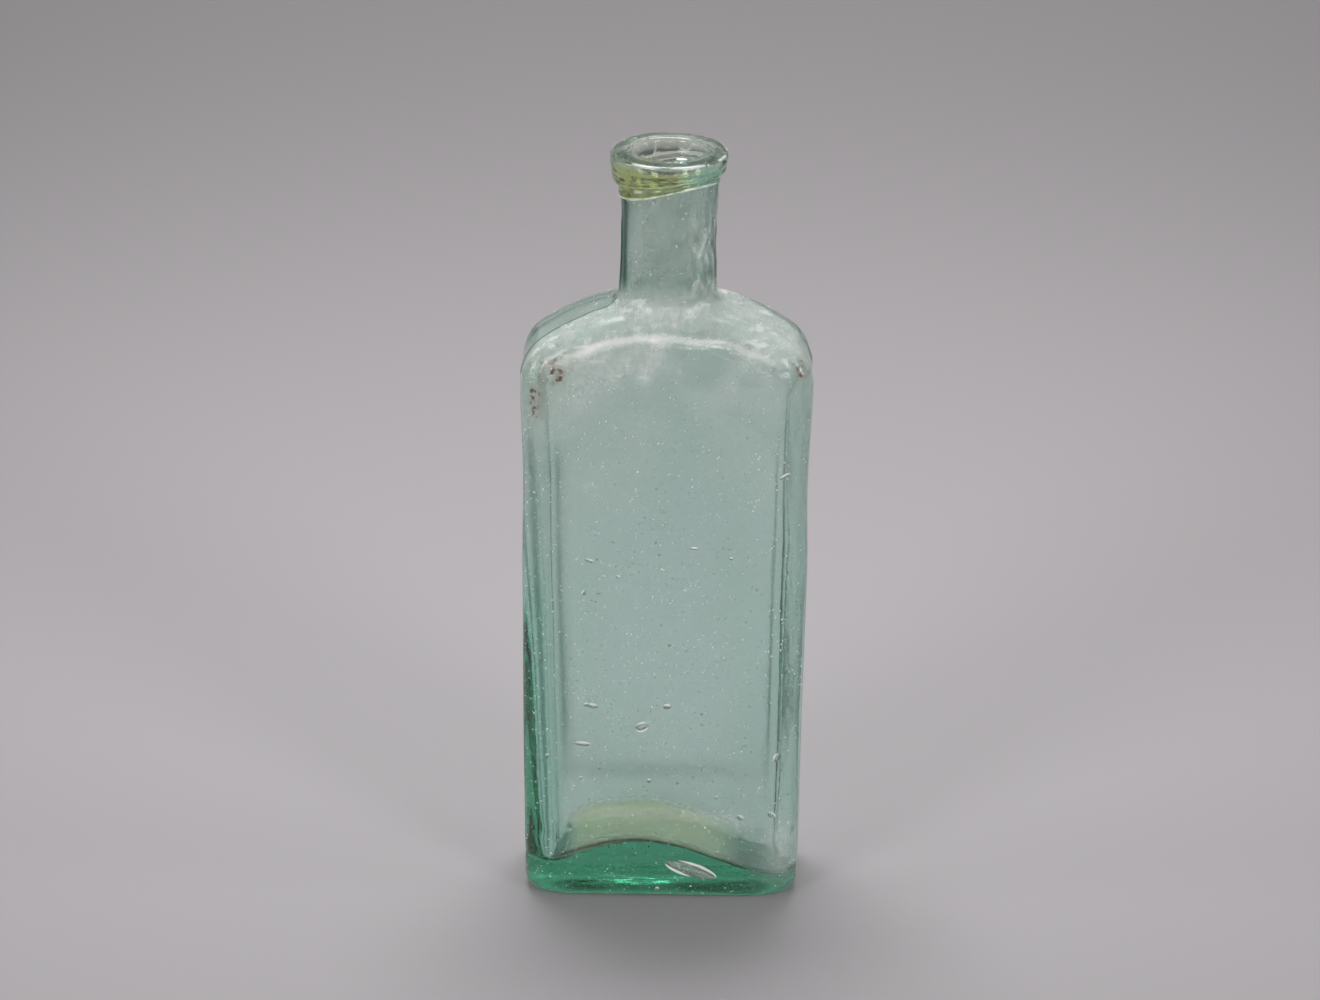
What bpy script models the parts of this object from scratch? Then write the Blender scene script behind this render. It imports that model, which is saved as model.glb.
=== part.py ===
"""Flat rectangular glass medicine bottle with an arched shoulder and an applied lip.

The bottle is two pieces of glass, as it was when it was made. The body was blown in a
mould: base, four walls, vaulted shoulder and neck are one skin of glass round one cavity.
The lip is a second gather, wound on round the end of the neck and tooled to shape, so its
lower edge ran down the neck unevenly.

Units are metres, +Z is up. The origin is on the table, under the middle of the body.
The wide panels face -Y (front) and +Y (back).
"""

import math

import bmesh
import bpy

# Outside of the body
BODY_WIDTH = 0.0604
BODY_DEPTH = 0.0250
EDGE_RADIUS = 0.0052
HEEL_RADIUS = 0.0026
BASE_DRAW = 0.0004

# The side walls sank in a little, below the shoulder, as the glass cooled
SINK_DEPTH = 0.0005
SINK_HEIGHT = 0.0970
SINK_REACH = 0.0215

# Shoulder: a vault with a wide crown arc, and a tighter haunch arc at each side. The round
# of its edge reaches further down over the middle of the panels than at the haunches.
CREST_HEIGHT = 0.1354
CROWN_RADIUS = 0.0460
HAUNCH_RADIUS = 0.0108
CROWN_EDGE_HEIGHT = 0.0075

# Neck, from the crest of the shoulder to its end inside the lip
NECK_LENGTH = 0.0281
NECK_WAIST_RADIUS = 0.0098
NECK_TOP_FLARE = 0.0003
NECK_FOOT_FLARE = 0.0004
NECK_FILLET = 0.0030
NECK_END_RADIUS = 0.0093
NECK_BORE_RADIUS = 0.0080
NECK_BORE_FLARE = 0.0006
BORE_FILLET = 0.0032
NECK_TIP_ROUND = 0.0003

# Thickness of the glass
PANEL_WALL = 0.0022
RIGHT_WALL = 0.0014
LEFT_WALL_TOP = 0.0013
LEFT_WALL_FOOT = 0.0042

# The cavity's own edges are rounder than the mould's, so the glass is thickest there
CAVITY_EDGE_RADIUS = 0.0058

# Floor of the cavity: the glass settled in a long swell, thickest left of the middle
FLOOR_MEAN = 0.0074
FLOOR_SWELL = 0.0040
FLOOR_WAVE_LENGTH = 0.0650
FLOOR_CREST_X = -0.0059
FLOOR_BACK_DROP = 0.0020
FLOOR_CORNER_RADIUS = 0.0021

# Underside: a level resting band round a shallow push-up
BAND_WIDTH = 0.0026
PUSH_UP_SLOPE = 0.0050
PUSH_UP_HEIGHT = 0.0006
PUSH_UP_CORNER_SHARE = 0.85

# Applied lip
LIP_RADIUS = 0.0120
LIP_TAPER = 0.0003
LIP_BORE_RADIUS = 0.00715
LIP_BORE_FLARE = 0.0002
LIP_RIM_ROUND = 0.0008
LIP_MOUTH_ROUND = 0.0010
LIP_SEAT_DEPTH = 0.0032
LIP_SKIRT_OVERHANG = 0.0003
LIP_TOE_ROUND = 0.0002

# How far the lip's glass ran down the neck, as a wave round it
SKIRT_MEAN = 0.0077
SKIRT_LEFT_SAG = 0.00185
SKIRT_BACK_SAG = 0.00065
SKIRT_TWO_LOBE_SAG = 0.00045
SKIRT_THREE_LOBE_SAG = 0.00025

# The lip's upright side and its rounded underside end at these shares of the skirt
LIP_SIDE_SHARE = 0.60
LIP_UNDERSIDE_SHARE = 0.80

# Clearance between the two pieces of glass
FIT_GAP = 0.0003

# Steps round one quarter of every section, and along each stretch of the profile
SIDE_STEPS = 2
CORNER_STEPS = 6
PANEL_STEPS = 6
QUARTER_STEPS = SIDE_STEPS + CORNER_STEPS + PANEL_STEPS
HEEL_STEPS = 4
WALL_STEPS = 9
SHOULDER_STEPS = 16
NECK_STEPS = 6
FLOOR_CORNER_STEPS = 4
ROUND_STEPS = 3
FLOOR_RING_SHARES = (0.84, 0.67, 0.50, 0.32, 0.15)

SHARP_EDGE_ANGLE = math.radians(38)

# Heights and half sizes that follow from the sizes above
HALF_WIDTH = BODY_WIDTH / 2
HALF_DEPTH = BODY_DEPTH / 2
CROWN_CENTRE_HEIGHT = CREST_HEIGHT - CROWN_RADIUS
HAUNCH_CENTRE_X = HALF_WIDTH - HAUNCH_RADIUS
HAUNCH_CENTRE_HEIGHT = CROWN_CENTRE_HEIGHT + math.sqrt(
    (CROWN_RADIUS - HAUNCH_RADIUS) ** 2 - HAUNCH_CENTRE_X**2
)
NECK_END_HEIGHT = CREST_HEIGHT + NECK_LENGTH
LIP_SEAT_HEIGHT = NECK_END_HEIGHT + FIT_GAP
LIP_TOP_HEIGHT = LIP_SEAT_HEIGHT + LIP_SEAT_DEPTH
NECK_TOP_RADIUS = NECK_WAIST_RADIUS + NECK_TOP_FLARE
NECK_FOOT_RADIUS = NECK_WAIST_RADIUS + NECK_FOOT_FLARE
BORE_FOOT_RADIUS = NECK_BORE_RADIUS + NECK_BORE_FLARE


def clear_scene():
    """Remove everything that the new file holds."""
    for thing in list(bpy.data.objects):
        bpy.data.objects.remove(thing, do_unlink=True)


def glass(name, colour, roughness):
    """Clear tinted glass."""
    material = bpy.data.materials.new(name)
    material.use_nodes = True
    shader = material.node_tree.nodes["Principled BSDF"]
    shader.inputs["Base Color"].default_value = (*colour, 1)
    shader.inputs["Roughness"].default_value = roughness
    shader.inputs["Metallic"].default_value = 0
    shader.inputs["IOR"].default_value = 1.52
    shader.inputs["Transmission Weight"].default_value = 1
    return material


def mesh_object(name, material, build, parent, location=(0, 0, 0)):
    """Make one object from the function that fills its bmesh."""
    mesh = bpy.data.meshes.new(name)
    shape = bmesh.new()
    build(shape)
    bmesh.ops.recalc_face_normals(shape, faces=shape.faces)
    shape.to_mesh(mesh)
    shape.free()
    mesh.shade_smooth()
    mesh.set_sharp_from_angle(angle=SHARP_EDGE_ANGLE)
    mesh.materials.append(material)
    piece = bpy.data.objects.new(name, mesh)
    bpy.context.scene.collection.objects.link(piece)
    piece.parent = parent
    piece.location = location
    return piece


def section(half_x, half_y, radius):
    """Ring of points on a rectangle with round corners, starting on +X."""
    corner_x = half_x - radius
    corner_y = half_y - radius
    quarter = [(half_x, corner_y * step / SIDE_STEPS) for step in range(SIDE_STEPS)]
    for step in range(CORNER_STEPS):
        angle = math.pi / 2 * step / CORNER_STEPS
        x = corner_x + radius * math.cos(angle)
        quarter.append((x, corner_y + radius * math.sin(angle)))
    for step in range(PANEL_STEPS + 1):
        quarter.append((corner_x * (1 - step / PANEL_STEPS), half_y))
    back_left = [(-x, y) for x, y in reversed(quarter)]
    front_left = [(-x, -y) for x, y in quarter]
    front_right = [(x, -y) for x, y in reversed(quarter)]
    return quarter[:-1] + back_left[:-1] + front_left[:-1] + front_right[:-1]


def circle(radius):
    """Ring of points on a circle, as many as a section has."""
    steps = 4 * QUARTER_STEPS
    angles = [math.tau * step / steps for step in range(steps)]
    return [(radius * math.cos(angle), radius * math.sin(angle)) for angle in angles]


def blend(ring_a, ring_b, share):
    """The ring that lies this share of the way from one ring to another."""
    return [
        (ax + (bx - ax) * share, ay + (by - ay) * share)
        for (ax, ay), (bx, by) in zip(ring_a, ring_b)
    ]


def eased(step, steps):
    """Shares from 0 to 1 that crowd together at both ends."""
    return (1 - math.cos(math.pi * step / steps)) / 2


def level(ring, height):
    """Lift a plane ring to one height."""
    return [(x, y, height) for x, y in ring]


def arch_height(x, inset):
    """Height of the shoulder's front outline, drawn in by the inset."""
    x = abs(x)
    crown = CROWN_RADIUS - inset
    haunch = HAUNCH_RADIUS - inset
    spread = CROWN_RADIUS - HAUNCH_RADIUS
    join_x = HAUNCH_CENTRE_X * (1 + haunch / spread)
    if x < join_x:
        return CROWN_CENTRE_HEIGHT + math.sqrt(crown**2 - x**2)
    reach = min(x - HAUNCH_CENTRE_X, haunch)
    return HAUNCH_CENTRE_HEIGHT + math.sqrt(haunch**2 - reach**2)


def edge_height(x, edge_radius, crown_edge_height):
    """How far down the round of the vault's edge reaches, this far from the middle."""
    share = min(abs(x) / (HALF_WIDTH - EDGE_RADIUS), 1)
    ease = share**2 * (3 - 2 * share)
    return crown_edge_height + (edge_radius - crown_edge_height) * ease


def edge_inset(y, wall, edge_radius, height):
    """How far the front outline is drawn in at depth y, for a skin this far inside."""
    over = max(abs(y) - (HALF_DEPTH - wall - edge_radius), 0)
    return wall + height * (1 - math.sqrt(max(1 - (over / edge_radius) ** 2, 0)))


def fillet_rise(distance, radius):
    """Extra height of a concave quarter round at this distance from the upright wall."""
    short = min(max(radius - distance, 0), radius)
    return radius - math.sqrt(radius**2 - short**2)


def shoulder_rings(neck_radius, fillet, wall, edge_radius, crown_edge_height):
    """Rings from the foot of the neck, over the vault, to the top of the walls."""
    inner = circle(neck_radius)
    outer = section(HALF_WIDTH - wall, HALF_DEPTH - wall, edge_radius)
    rings = []
    for step in range(SHOULDER_STEPS + 1):
        ring = []
        for x, y in blend(inner, outer, eased(step, SHOULDER_STEPS)):
            distance = math.hypot(x, y) - neck_radius
            reach = edge_height(x, edge_radius, crown_edge_height)
            height = arch_height(x, edge_inset(y, wall, edge_radius, reach))
            ring.append((x, y, height + fillet_rise(distance, fillet)))
        rings.append(ring)
    return rings


def neck_radius_at(share):
    """Outer radius of the neck from its foot (0) to the lip (1), slightly waisted."""
    if share < 1 / 2:
        return NECK_WAIST_RADIUS + NECK_FOOT_FLARE * (1 - 2 * share) ** 2
    return NECK_WAIST_RADIUS + NECK_TOP_FLARE * (2 * share - 1) ** 2


def skirt_depth(x, y):
    """How far below the rim the lip's glass ends, in the direction of this point."""
    angle = math.atan2(y, x)
    return (
        SKIRT_MEAN
        - SKIRT_LEFT_SAG * math.cos(angle)
        + SKIRT_BACK_SAG * math.sin(angle)
        + SKIRT_TWO_LOBE_SAG * math.cos(2 * angle)
        + SKIRT_THREE_LOBE_SAG * math.cos(3 * angle)
    )


def wall_draw(height):
    """How far the outer side wall stands in from the shoulder's width."""
    taper = BASE_DRAW * max(1 - height / HAUNCH_CENTRE_HEIGHT, 0)
    reach = min(abs(height - SINK_HEIGHT) / SINK_REACH, 1)
    return taper + SINK_DEPTH * math.cos(math.pi / 2 * reach) ** 2


def drawn_in(ring):
    """Narrow each point of a ring by the draw of the side walls at its height."""
    return [(x * (1 - wall_draw(z) / HALF_WIDTH), y, z) for x, y, z in ring]


def cavity_shifted(ring):
    """Spread an inner ring so that each side wall gets its own thickness."""
    shifted = []
    for x, y, z in ring:
        drop = min(max(1 - z / HAUNCH_CENTRE_HEIGHT, 0), 1)
        left = LEFT_WALL_TOP + (LEFT_WALL_FOOT - LEFT_WALL_TOP) * drop
        stretch = 2 * PANEL_WALL - left - RIGHT_WALL
        vault = CREST_HEIGHT - PANEL_WALL - HAUNCH_CENTRE_HEIGHT
        fade = 1 - min(max((z - HAUNCH_CENTRE_HEIGHT) / vault, 0), 1)
        offset = (left - RIGHT_WALL + stretch * x / (HALF_WIDTH - PANEL_WALL)) / 2
        shifted.append((x + offset * fade, y, z))
    return drawn_in(shifted)


def floor_height(x, y):
    """Height of the wavy floor of the cavity."""
    wave = math.cos(math.tau * (x - FLOOR_CREST_X) / FLOOR_WAVE_LENGTH)
    return FLOOR_MEAN + FLOOR_SWELL * wave - FLOOR_BACK_DROP * y / HALF_DEPTH


def skin(shape, rings, closed=False):
    """Join each ring to the next with a band of four-sided faces."""
    loops = [[shape.verts.new(point) for point in ring] for ring in rings]
    following = loops[1:] + loops[:1] if closed else loops[1:]
    for upper, lower in zip(loops, following):
        for i in range(len(upper)):
            j = (i + 1) % len(upper)
            shape.faces.new((upper[i], upper[j], lower[j], lower[i]))
    return loops


def fan(shape, loop, point):
    """Close a loop with triangles that meet at one point."""
    hub = shape.verts.new(point)
    for i, vertex in enumerate(loop):
        shape.faces.new((vertex, loop[(i + 1) % len(loop)], hub))


def outer_rings():
    """Outside of the body, from the push-up under the base to the end of the neck."""
    foot_x = HALF_WIDTH - BASE_DRAW
    band_x = foot_x - HEEL_RADIUS - BAND_WIDTH
    band_y = HALF_DEPTH - HEEL_RADIUS - BAND_WIDTH
    roof_x = band_x - PUSH_UP_SLOPE
    roof_y = band_y - PUSH_UP_SLOPE
    rings = [
        level(section(roof_x, roof_y, roof_y * PUSH_UP_CORNER_SHARE), PUSH_UP_HEIGHT),
        level(section(band_x, band_y, band_y * PUSH_UP_CORNER_SHARE), 0),
    ]
    for step in range(HEEL_STEPS):
        angle = math.pi / 2 * step / HEEL_STEPS
        inset = HEEL_RADIUS * (1 - math.sin(angle))
        ring = section(HALF_WIDTH - inset, HALF_DEPTH - inset, EDGE_RADIUS - inset)
        rings.append(drawn_in(level(ring, HEEL_RADIUS * (1 - math.cos(angle)))))
    shoulder = shoulder_rings(
        NECK_FOOT_RADIUS, NECK_FILLET, 0, EDGE_RADIUS, CROWN_EDGE_HEIGHT
    )
    rings += upright_rings(shoulder[-1], lambda x, y: HEEL_RADIUS, drawn_in)
    rings += shoulder[-2::-1]
    foot = shoulder[0]
    top = [(x, y, LIP_TOP_HEIGHT - skirt_depth(x, y) - FIT_GAP) for x, y, _ in foot]
    for step in range(1, NECK_STEPS + 1):
        share = step / NECK_STEPS
        ring = circle(neck_radius_at(share))
        rings.append(
            [
                (x, y, low[2] + (high[2] - low[2]) * share)
                for (x, y), low, high in zip(ring, foot, top)
            ]
        )
    end = circle(NECK_END_RADIUS)
    rings.append([(x, y, high[2]) for (x, y), high in zip(end, top)])
    rings.append(level(end, NECK_END_HEIGHT - NECK_TIP_ROUND))
    rings.append(level(circle(NECK_END_RADIUS - NECK_TIP_ROUND), NECK_END_HEIGHT))
    return rings


def upright_rings(top, foot_height, dress):
    """Rings up a wall, from the height that foot_height gives to the ring at the top."""
    rings = []
    for step in range(WALL_STEPS + 1):
        share = step / WALL_STEPS
        ring = []
        for x, y, z in top:
            low = foot_height(x, y)
            ring.append((x, y, low + (z - low) * share))
        rings.append(dress(ring))
    return rings


def inner_rings():
    """Inside of the body, from the end of the neck down to the floor of the cavity."""
    bore_end = circle(NECK_BORE_RADIUS)
    rings = [
        level(circle(NECK_BORE_RADIUS + NECK_TIP_ROUND), NECK_END_HEIGHT),
        level(bore_end, NECK_END_HEIGHT - NECK_TIP_ROUND),
    ]
    shoulder = shoulder_rings(
        BORE_FOOT_RADIUS, BORE_FILLET, PANEL_WALL, CAVITY_EDGE_RADIUS, CAVITY_EDGE_RADIUS
    )
    top = NECK_END_HEIGHT - NECK_TIP_ROUND
    for step in range(1, NECK_STEPS):
        share = step / NECK_STEPS
        ring = blend(bore_end, circle(BORE_FOOT_RADIUS), share)
        rings.append(
            [
                (x, y, top + (low[2] - top) * share)
                for (x, y), low in zip(ring, shoulder[0])
            ]
        )
    rings += [cavity_shifted(ring) for ring in shoulder[:-1]]
    walls = upright_rings(
        shoulder[-1],
        lambda x, y: floor_height(x, y) + FLOOR_CORNER_RADIUS,
        cavity_shifted,
    )
    rings += walls[::-1]
    half_x = HALF_WIDTH - PANEL_WALL
    half_y = HALF_DEPTH - PANEL_WALL
    for step in range(1, FLOOR_CORNER_STEPS + 1):
        angle = math.pi / 2 * step / FLOOR_CORNER_STEPS
        inset = FLOOR_CORNER_RADIUS * (1 - math.cos(angle))
        rise = FLOOR_CORNER_RADIUS * (1 - math.sin(angle))
        corner = max(CAVITY_EDGE_RADIUS - inset, CAVITY_EDGE_RADIUS / 2)
        ring = section(half_x - inset, half_y - inset, corner)
        rings.append(
            cavity_shifted([(x, y, floor_height(x, y) + rise) for x, y in ring])
        )
    floor = [(x, y) for x, y in ring]
    for share in FLOOR_RING_SHARES:
        ring = [(x * share, y * share) for x, y in floor]
        rings.append(cavity_shifted([(x, y, floor_height(x, y)) for x, y in ring]))
    return rings


def build_body(shape):
    """Blown body: one closed skin, up the outside and down the inside."""
    loops = skin(shape, outer_rings() + inner_rings())
    fan(shape, loops[0], (0, 0, PUSH_UP_HEIGHT))
    fan(shape, loops[-1], cavity_shifted([(0, 0, floor_height(0, 0))])[0])


def quarter_round(centre_r, centre_z, radius, start, steps=ROUND_STEPS):
    """Profile points on a quarter circle that turns clockwise from the start angle."""
    angles = [start - math.pi / 2 * step / steps for step in range(steps + 1)]
    return [
        (centre_r + radius * math.cos(angle), centre_z + radius * math.sin(angle))
        for angle in angles
    ]


def lip_profile(depth):
    """Closed profile of the lip as radius and height below the rim."""
    socket = NECK_END_RADIUS + FIT_GAP
    skirt = NECK_TOP_RADIUS + LIP_SKIRT_OVERHANG
    side = depth * LIP_SIDE_SHARE
    underside = depth * LIP_UNDERSIDE_SHARE
    bulge = LIP_RADIUS - LIP_TAPER - skirt
    points = quarter_round(
        LIP_BORE_RADIUS + LIP_MOUTH_ROUND, -LIP_MOUTH_ROUND, LIP_MOUTH_ROUND, math.pi
    )
    points += quarter_round(
        LIP_RADIUS - LIP_RIM_ROUND, -LIP_RIM_ROUND, LIP_RIM_ROUND, math.pi / 2
    )
    for step in range(ROUND_STEPS + 1):
        angle = math.pi / 2 * step / ROUND_STEPS
        drop = (underside - side) * math.sin(angle)
        points.append((skirt + bulge * math.cos(angle), -side - drop))
    points.append((skirt, -depth + LIP_TOE_ROUND))
    points.append((skirt - LIP_TOE_ROUND, -depth))
    points.append((socket, -depth))
    points.append((socket, -LIP_SEAT_DEPTH))
    points.append((LIP_BORE_RADIUS + LIP_BORE_FLARE, -LIP_SEAT_DEPTH))
    return points


def build_lip(shape):
    """Applied lip: its profile swept round the neck, with the skirt's depth varying."""
    spokes = []
    for x, y in circle(1):
        profile = lip_profile(skirt_depth(x, y))
        spokes.append([(r * x, r * y, z + LIP_SEAT_DEPTH) for r, z in profile])
    rings = [list(ring) for ring in zip(*spokes)]
    skin(shape, rings, closed=True)


def main():
    """Build the bottle."""
    clear_scene()
    axis = bpy.data.objects.new("bottle_axis", None)
    bpy.context.scene.collection.objects.link(axis)
    aqua = glass("aqua_glass", (0.55, 0.80, 0.70), 0.06)
    olive = glass("olive_glass", (0.62, 0.72, 0.45), 0.04)
    mesh_object("bottle_body", aqua, build_body, axis)
    mesh_object("applied_lip", olive, build_lip, axis, (0, 0, LIP_SEAT_HEIGHT))


main()
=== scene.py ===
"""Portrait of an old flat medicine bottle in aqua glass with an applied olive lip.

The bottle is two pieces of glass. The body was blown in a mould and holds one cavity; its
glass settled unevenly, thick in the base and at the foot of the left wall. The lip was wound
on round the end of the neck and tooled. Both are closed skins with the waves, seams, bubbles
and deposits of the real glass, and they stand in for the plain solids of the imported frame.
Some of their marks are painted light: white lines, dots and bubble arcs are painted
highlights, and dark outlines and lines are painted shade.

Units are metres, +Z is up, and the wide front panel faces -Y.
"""

from __future__ import annotations
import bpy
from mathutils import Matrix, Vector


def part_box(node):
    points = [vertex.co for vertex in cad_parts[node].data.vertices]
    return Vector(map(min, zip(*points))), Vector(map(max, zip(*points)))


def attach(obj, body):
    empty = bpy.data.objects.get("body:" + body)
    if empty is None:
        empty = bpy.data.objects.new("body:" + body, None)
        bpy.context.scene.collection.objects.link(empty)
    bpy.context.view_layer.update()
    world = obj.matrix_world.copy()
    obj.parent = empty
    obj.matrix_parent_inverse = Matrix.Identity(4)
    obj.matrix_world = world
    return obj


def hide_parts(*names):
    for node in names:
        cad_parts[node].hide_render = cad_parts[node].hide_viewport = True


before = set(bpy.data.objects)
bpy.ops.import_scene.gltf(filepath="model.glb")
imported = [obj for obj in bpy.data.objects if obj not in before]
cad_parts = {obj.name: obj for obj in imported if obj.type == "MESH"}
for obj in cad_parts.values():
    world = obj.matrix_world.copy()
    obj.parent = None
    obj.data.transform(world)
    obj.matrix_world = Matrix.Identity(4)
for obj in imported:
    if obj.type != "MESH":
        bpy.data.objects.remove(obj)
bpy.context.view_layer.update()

import logging
import math
from dataclasses import dataclass, field
from enum import Enum
from typing import Sequence, Union

import bpy
import numpy as np
from mathutils import Matrix, Vector

LOG = logging.getLogger("bottle")

MM = 0.001
TINY = 1e-12
GLASS_IOR = 1.52

Colour = tuple[float, float, float]
Pixel = tuple[float, float]
SocketValue = Union[bpy.types.NodeSocket, float, Sequence[float]]


class Slot(Enum):
    """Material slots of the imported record."""

    AQUA = "aqua_glass"
    OLIVE = "olive_glass"


class Mark(Enum):
    """Surface marks that a piece's mesh carries from point to point, 0 where it has none."""

    INSIDE = "inside"
    # real haze, and the painted highlights on lines, bubbles and seeds
    HAZE_AND_HIGHLIGHT = "haze"
    SCUFF = "scuff"
    CREAM = "cream"
    RUST = "rust"
    # painted shade: dark line along the front corner of the cavity's floor
    CORNER_SHADE = "corner_shade"
    # side of the mould's seam, which places the seam's painted dark line
    SEAM = "seam"
    # real cords in the back panel, and painted shade: dark outlines, the neck's edges, crinkle
    # flecks and the lip's rim top
    CORD_AND_SHADE = "cord"
    WRAP = "wrap"
    OUTSIDE = "outside"


class Along(Enum):
    """Ways in which a point's place on the glass is measured.

    Lengths are in millimetres. The rounds are shares from 0 where an edge's round starts on
    the panel to 1 at its end, and the last group are fields and masks.
    """

    X = "to the right"
    Y = "to the back"
    Z = "up"
    ASIDE = "away from the middle, to either side"
    HUNG = "up, where the haze hangs lower at both sides"
    BOW = "up, along a line that sags at both ends"
    ABOVE = "above the floor of the cavity"
    LIMB = "in from the outline of the side wall"
    LEFT_CORD = "to the right of the left cord"
    RIGHT_CORD = "to the right of the right cord"
    REACH = "out from the axis"
    DROP = "down from the rim"
    EDGE = "up from the lip's lower edge"

    FRONT_ROUND = "over the front edge's round"
    BACK_ROUND = "over the back edge's round"

    CLEAR = "mask of what isn't behind the seam"
    # breaks up the painted highlight line over the front panel
    BREAKS_IN_HIGHLIGHT = "field that breaks the rubbed line"
    # splits the neck crinkles' painted highlights from their painted shade
    FLECKS = "field of the neck's crinkles"
    # the next two break up the painted highlights on the lip's lower edge and rim
    TOE_GLINTS = "field of the worn lower edge"
    RIM_GLINTS = "field of the worn rim"


Places = dict[Along, np.ndarray]


def smooth(value: np.ndarray, low: float, high: float) -> np.ndarray:
    """Smooth step from 0 at low to 1 at high; low may be the larger.

    Args:
        value: Numbers to map.
        low: Value that becomes 0.
        high: Value that becomes 1.

    Returns:
        The mapped numbers.
    """
    share = np.clip((value - low) / (high - low), 0, 1)
    return share * share * (3 - 2 * share)


@dataclass(frozen=True)
class Band:
    """Stretch with soft ends.

    Attributes:
        rise: Where it starts, and where it is full. None leaves it open below.
        fall: Where it starts to fade, and where it has gone. None leaves it open above.
    """

    rise: tuple[float, float] | None = None
    fall: tuple[float, float] | None = None

    def of(self, place: np.ndarray) -> np.ndarray:
        """Share of the band at each place.

        Args:
            place: Places along it.

        Returns:
            Shares from 0 to 1.
        """
        share = np.ones(place.shape)
        if self.rise:
            share = share * smooth(place, *self.rise)
        if self.fall:
            share = share * smooth(place, self.fall[1], self.fall[0])
        return share


@dataclass(frozen=True)
class Bell:
    """Soft line, full in its middle and faded by two thirds one width away."""

    middle: float
    width: float

    def of(self, place: np.ndarray) -> np.ndarray:
        """Share of the line at each place."""
        return np.exp(-(((place - self.middle) / self.width) ** 2))


def spot(middle: Sequence[float], size: Sequence[float]) -> dict[Along, Bell]:
    """Soft round spot.

    Args:
        middle: Its x, y and z.
        size: Its widths along them.

    Returns:
        Where it lies.
    """
    return {way: Bell(m, s) for way, m, s in zip((Along.X, Along.Y, Along.Z), middle, size)}


@dataclass(frozen=True)
class Patch:
    """Part of a skin that a mark or a wave covers.

    Attributes:
        strength: How strong it is where it is full; below zero it takes away.
        where: The soft stretches and lines that bound it, which multiply.
        times: Masks that it is multiplied by as they are.
    """

    strength: float
    where: dict[Along, Band | Bell] = field(default_factory=dict)
    times: tuple[Along, ...] = ()

    def of(self, places: Places) -> np.ndarray:
        """Strength at each point, from the point's places.

        Args:
            places: Places of the points.

        Returns:
            One number for each point.
        """
        share = np.full(places[Along.Z].shape, self.strength)
        for way, form in self.where.items():
            share = share * form.of(places[way])
        for way in self.times:
            share = share * places[way]
        return share


def summed(patches: Sequence[Patch], places: Places, most: float = 1.0) -> np.ndarray:
    """All patches of one mark together, held between 0 and the most that it may be."""
    return np.clip(sum(patch.of(places) for patch in patches), 0, most)


@dataclass(frozen=True)
class WaveField:
    """Smooth seeded unevenness, made of many plane waves.

    Attributes:
        wavelength: Usual distance from crest to crest, in millimetres.
        seed: Seed of the waves.
        stretch: How much longer the waves are along each axis.
    """

    wavelength: float
    seed: int
    stretch: tuple[float, float, float] = (1.0, 1.0, 1.0)

    WAVES = 16
    LENGTH_SHARES = (0.7, 1.5)
    LIMIT = 1.6

    def at(self, points: np.ndarray) -> np.ndarray:
        """Height of the field, mostly between -1 and 1.

        Args:
            points: Array of points in metres, its last axis x, y and z.

        Returns:
            One number for each point.
        """
        rng = np.random.default_rng(self.seed)
        ways = rng.normal(size=(self.WAVES, 3))
        ways /= np.linalg.norm(ways, axis=1)[:, None]
        lengths = self.wavelength * MM * rng.uniform(*self.LENGTH_SHARES, self.WAVES)
        phases = rng.uniform(0, math.tau, self.WAVES)
        turns = math.tau * ways / lengths[:, None] / np.array(self.stretch)
        total = np.sin(points @ turns.T + phases).sum(axis=-1)
        return np.clip(total / math.sqrt(self.WAVES), -self.LIMIT, self.LIMIT) / self.LIMIT


@dataclass(frozen=True)
class Ripple:
    """Waves over a part of a skin.

    Attributes:
        waves: The waves.
        patch: Where they are; its strength is their height in millimetres.
        cut_in: Whether they only cut in and never stand out.
    """

    waves: WaveField
    patch: Patch
    cut_in: bool = False

    def of(self, points: np.ndarray, places: Places) -> np.ndarray:
        """Heights in metres at each point, from the point and its places.

        Args:
            points: Points of the skin.
            places: Their places.

        Returns:
            Heights over the plain skin.
        """
        height = self.waves.at(points)
        if self.cut_in:
            height = (height - 1) / 2
        return height * self.patch.of(places) * MM


def rippled(ripples: Sequence[Ripple], points: np.ndarray, places: Places) -> np.ndarray:
    """All ripples together, as heights in metres at each point."""
    return sum(ripple.of(points, places) for ripple in ripples)


def grid_normals(rings: np.ndarray) -> np.ndarray:
    """Unit normals of a lattice of rings, each ring closed on itself.

    Args:
        rings: Array of rings, points and x, y, z.

    Returns:
        Normals in the same layout, all to one side.
    """
    round_way = np.roll(rings, -1, axis=1) - np.roll(rings, 1, axis=1)
    along = np.gradient(rings, axis=0)
    normals = np.cross(round_way, along)
    return normals / np.maximum(np.linalg.norm(normals, axis=-1, keepdims=True), TINY)


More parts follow.
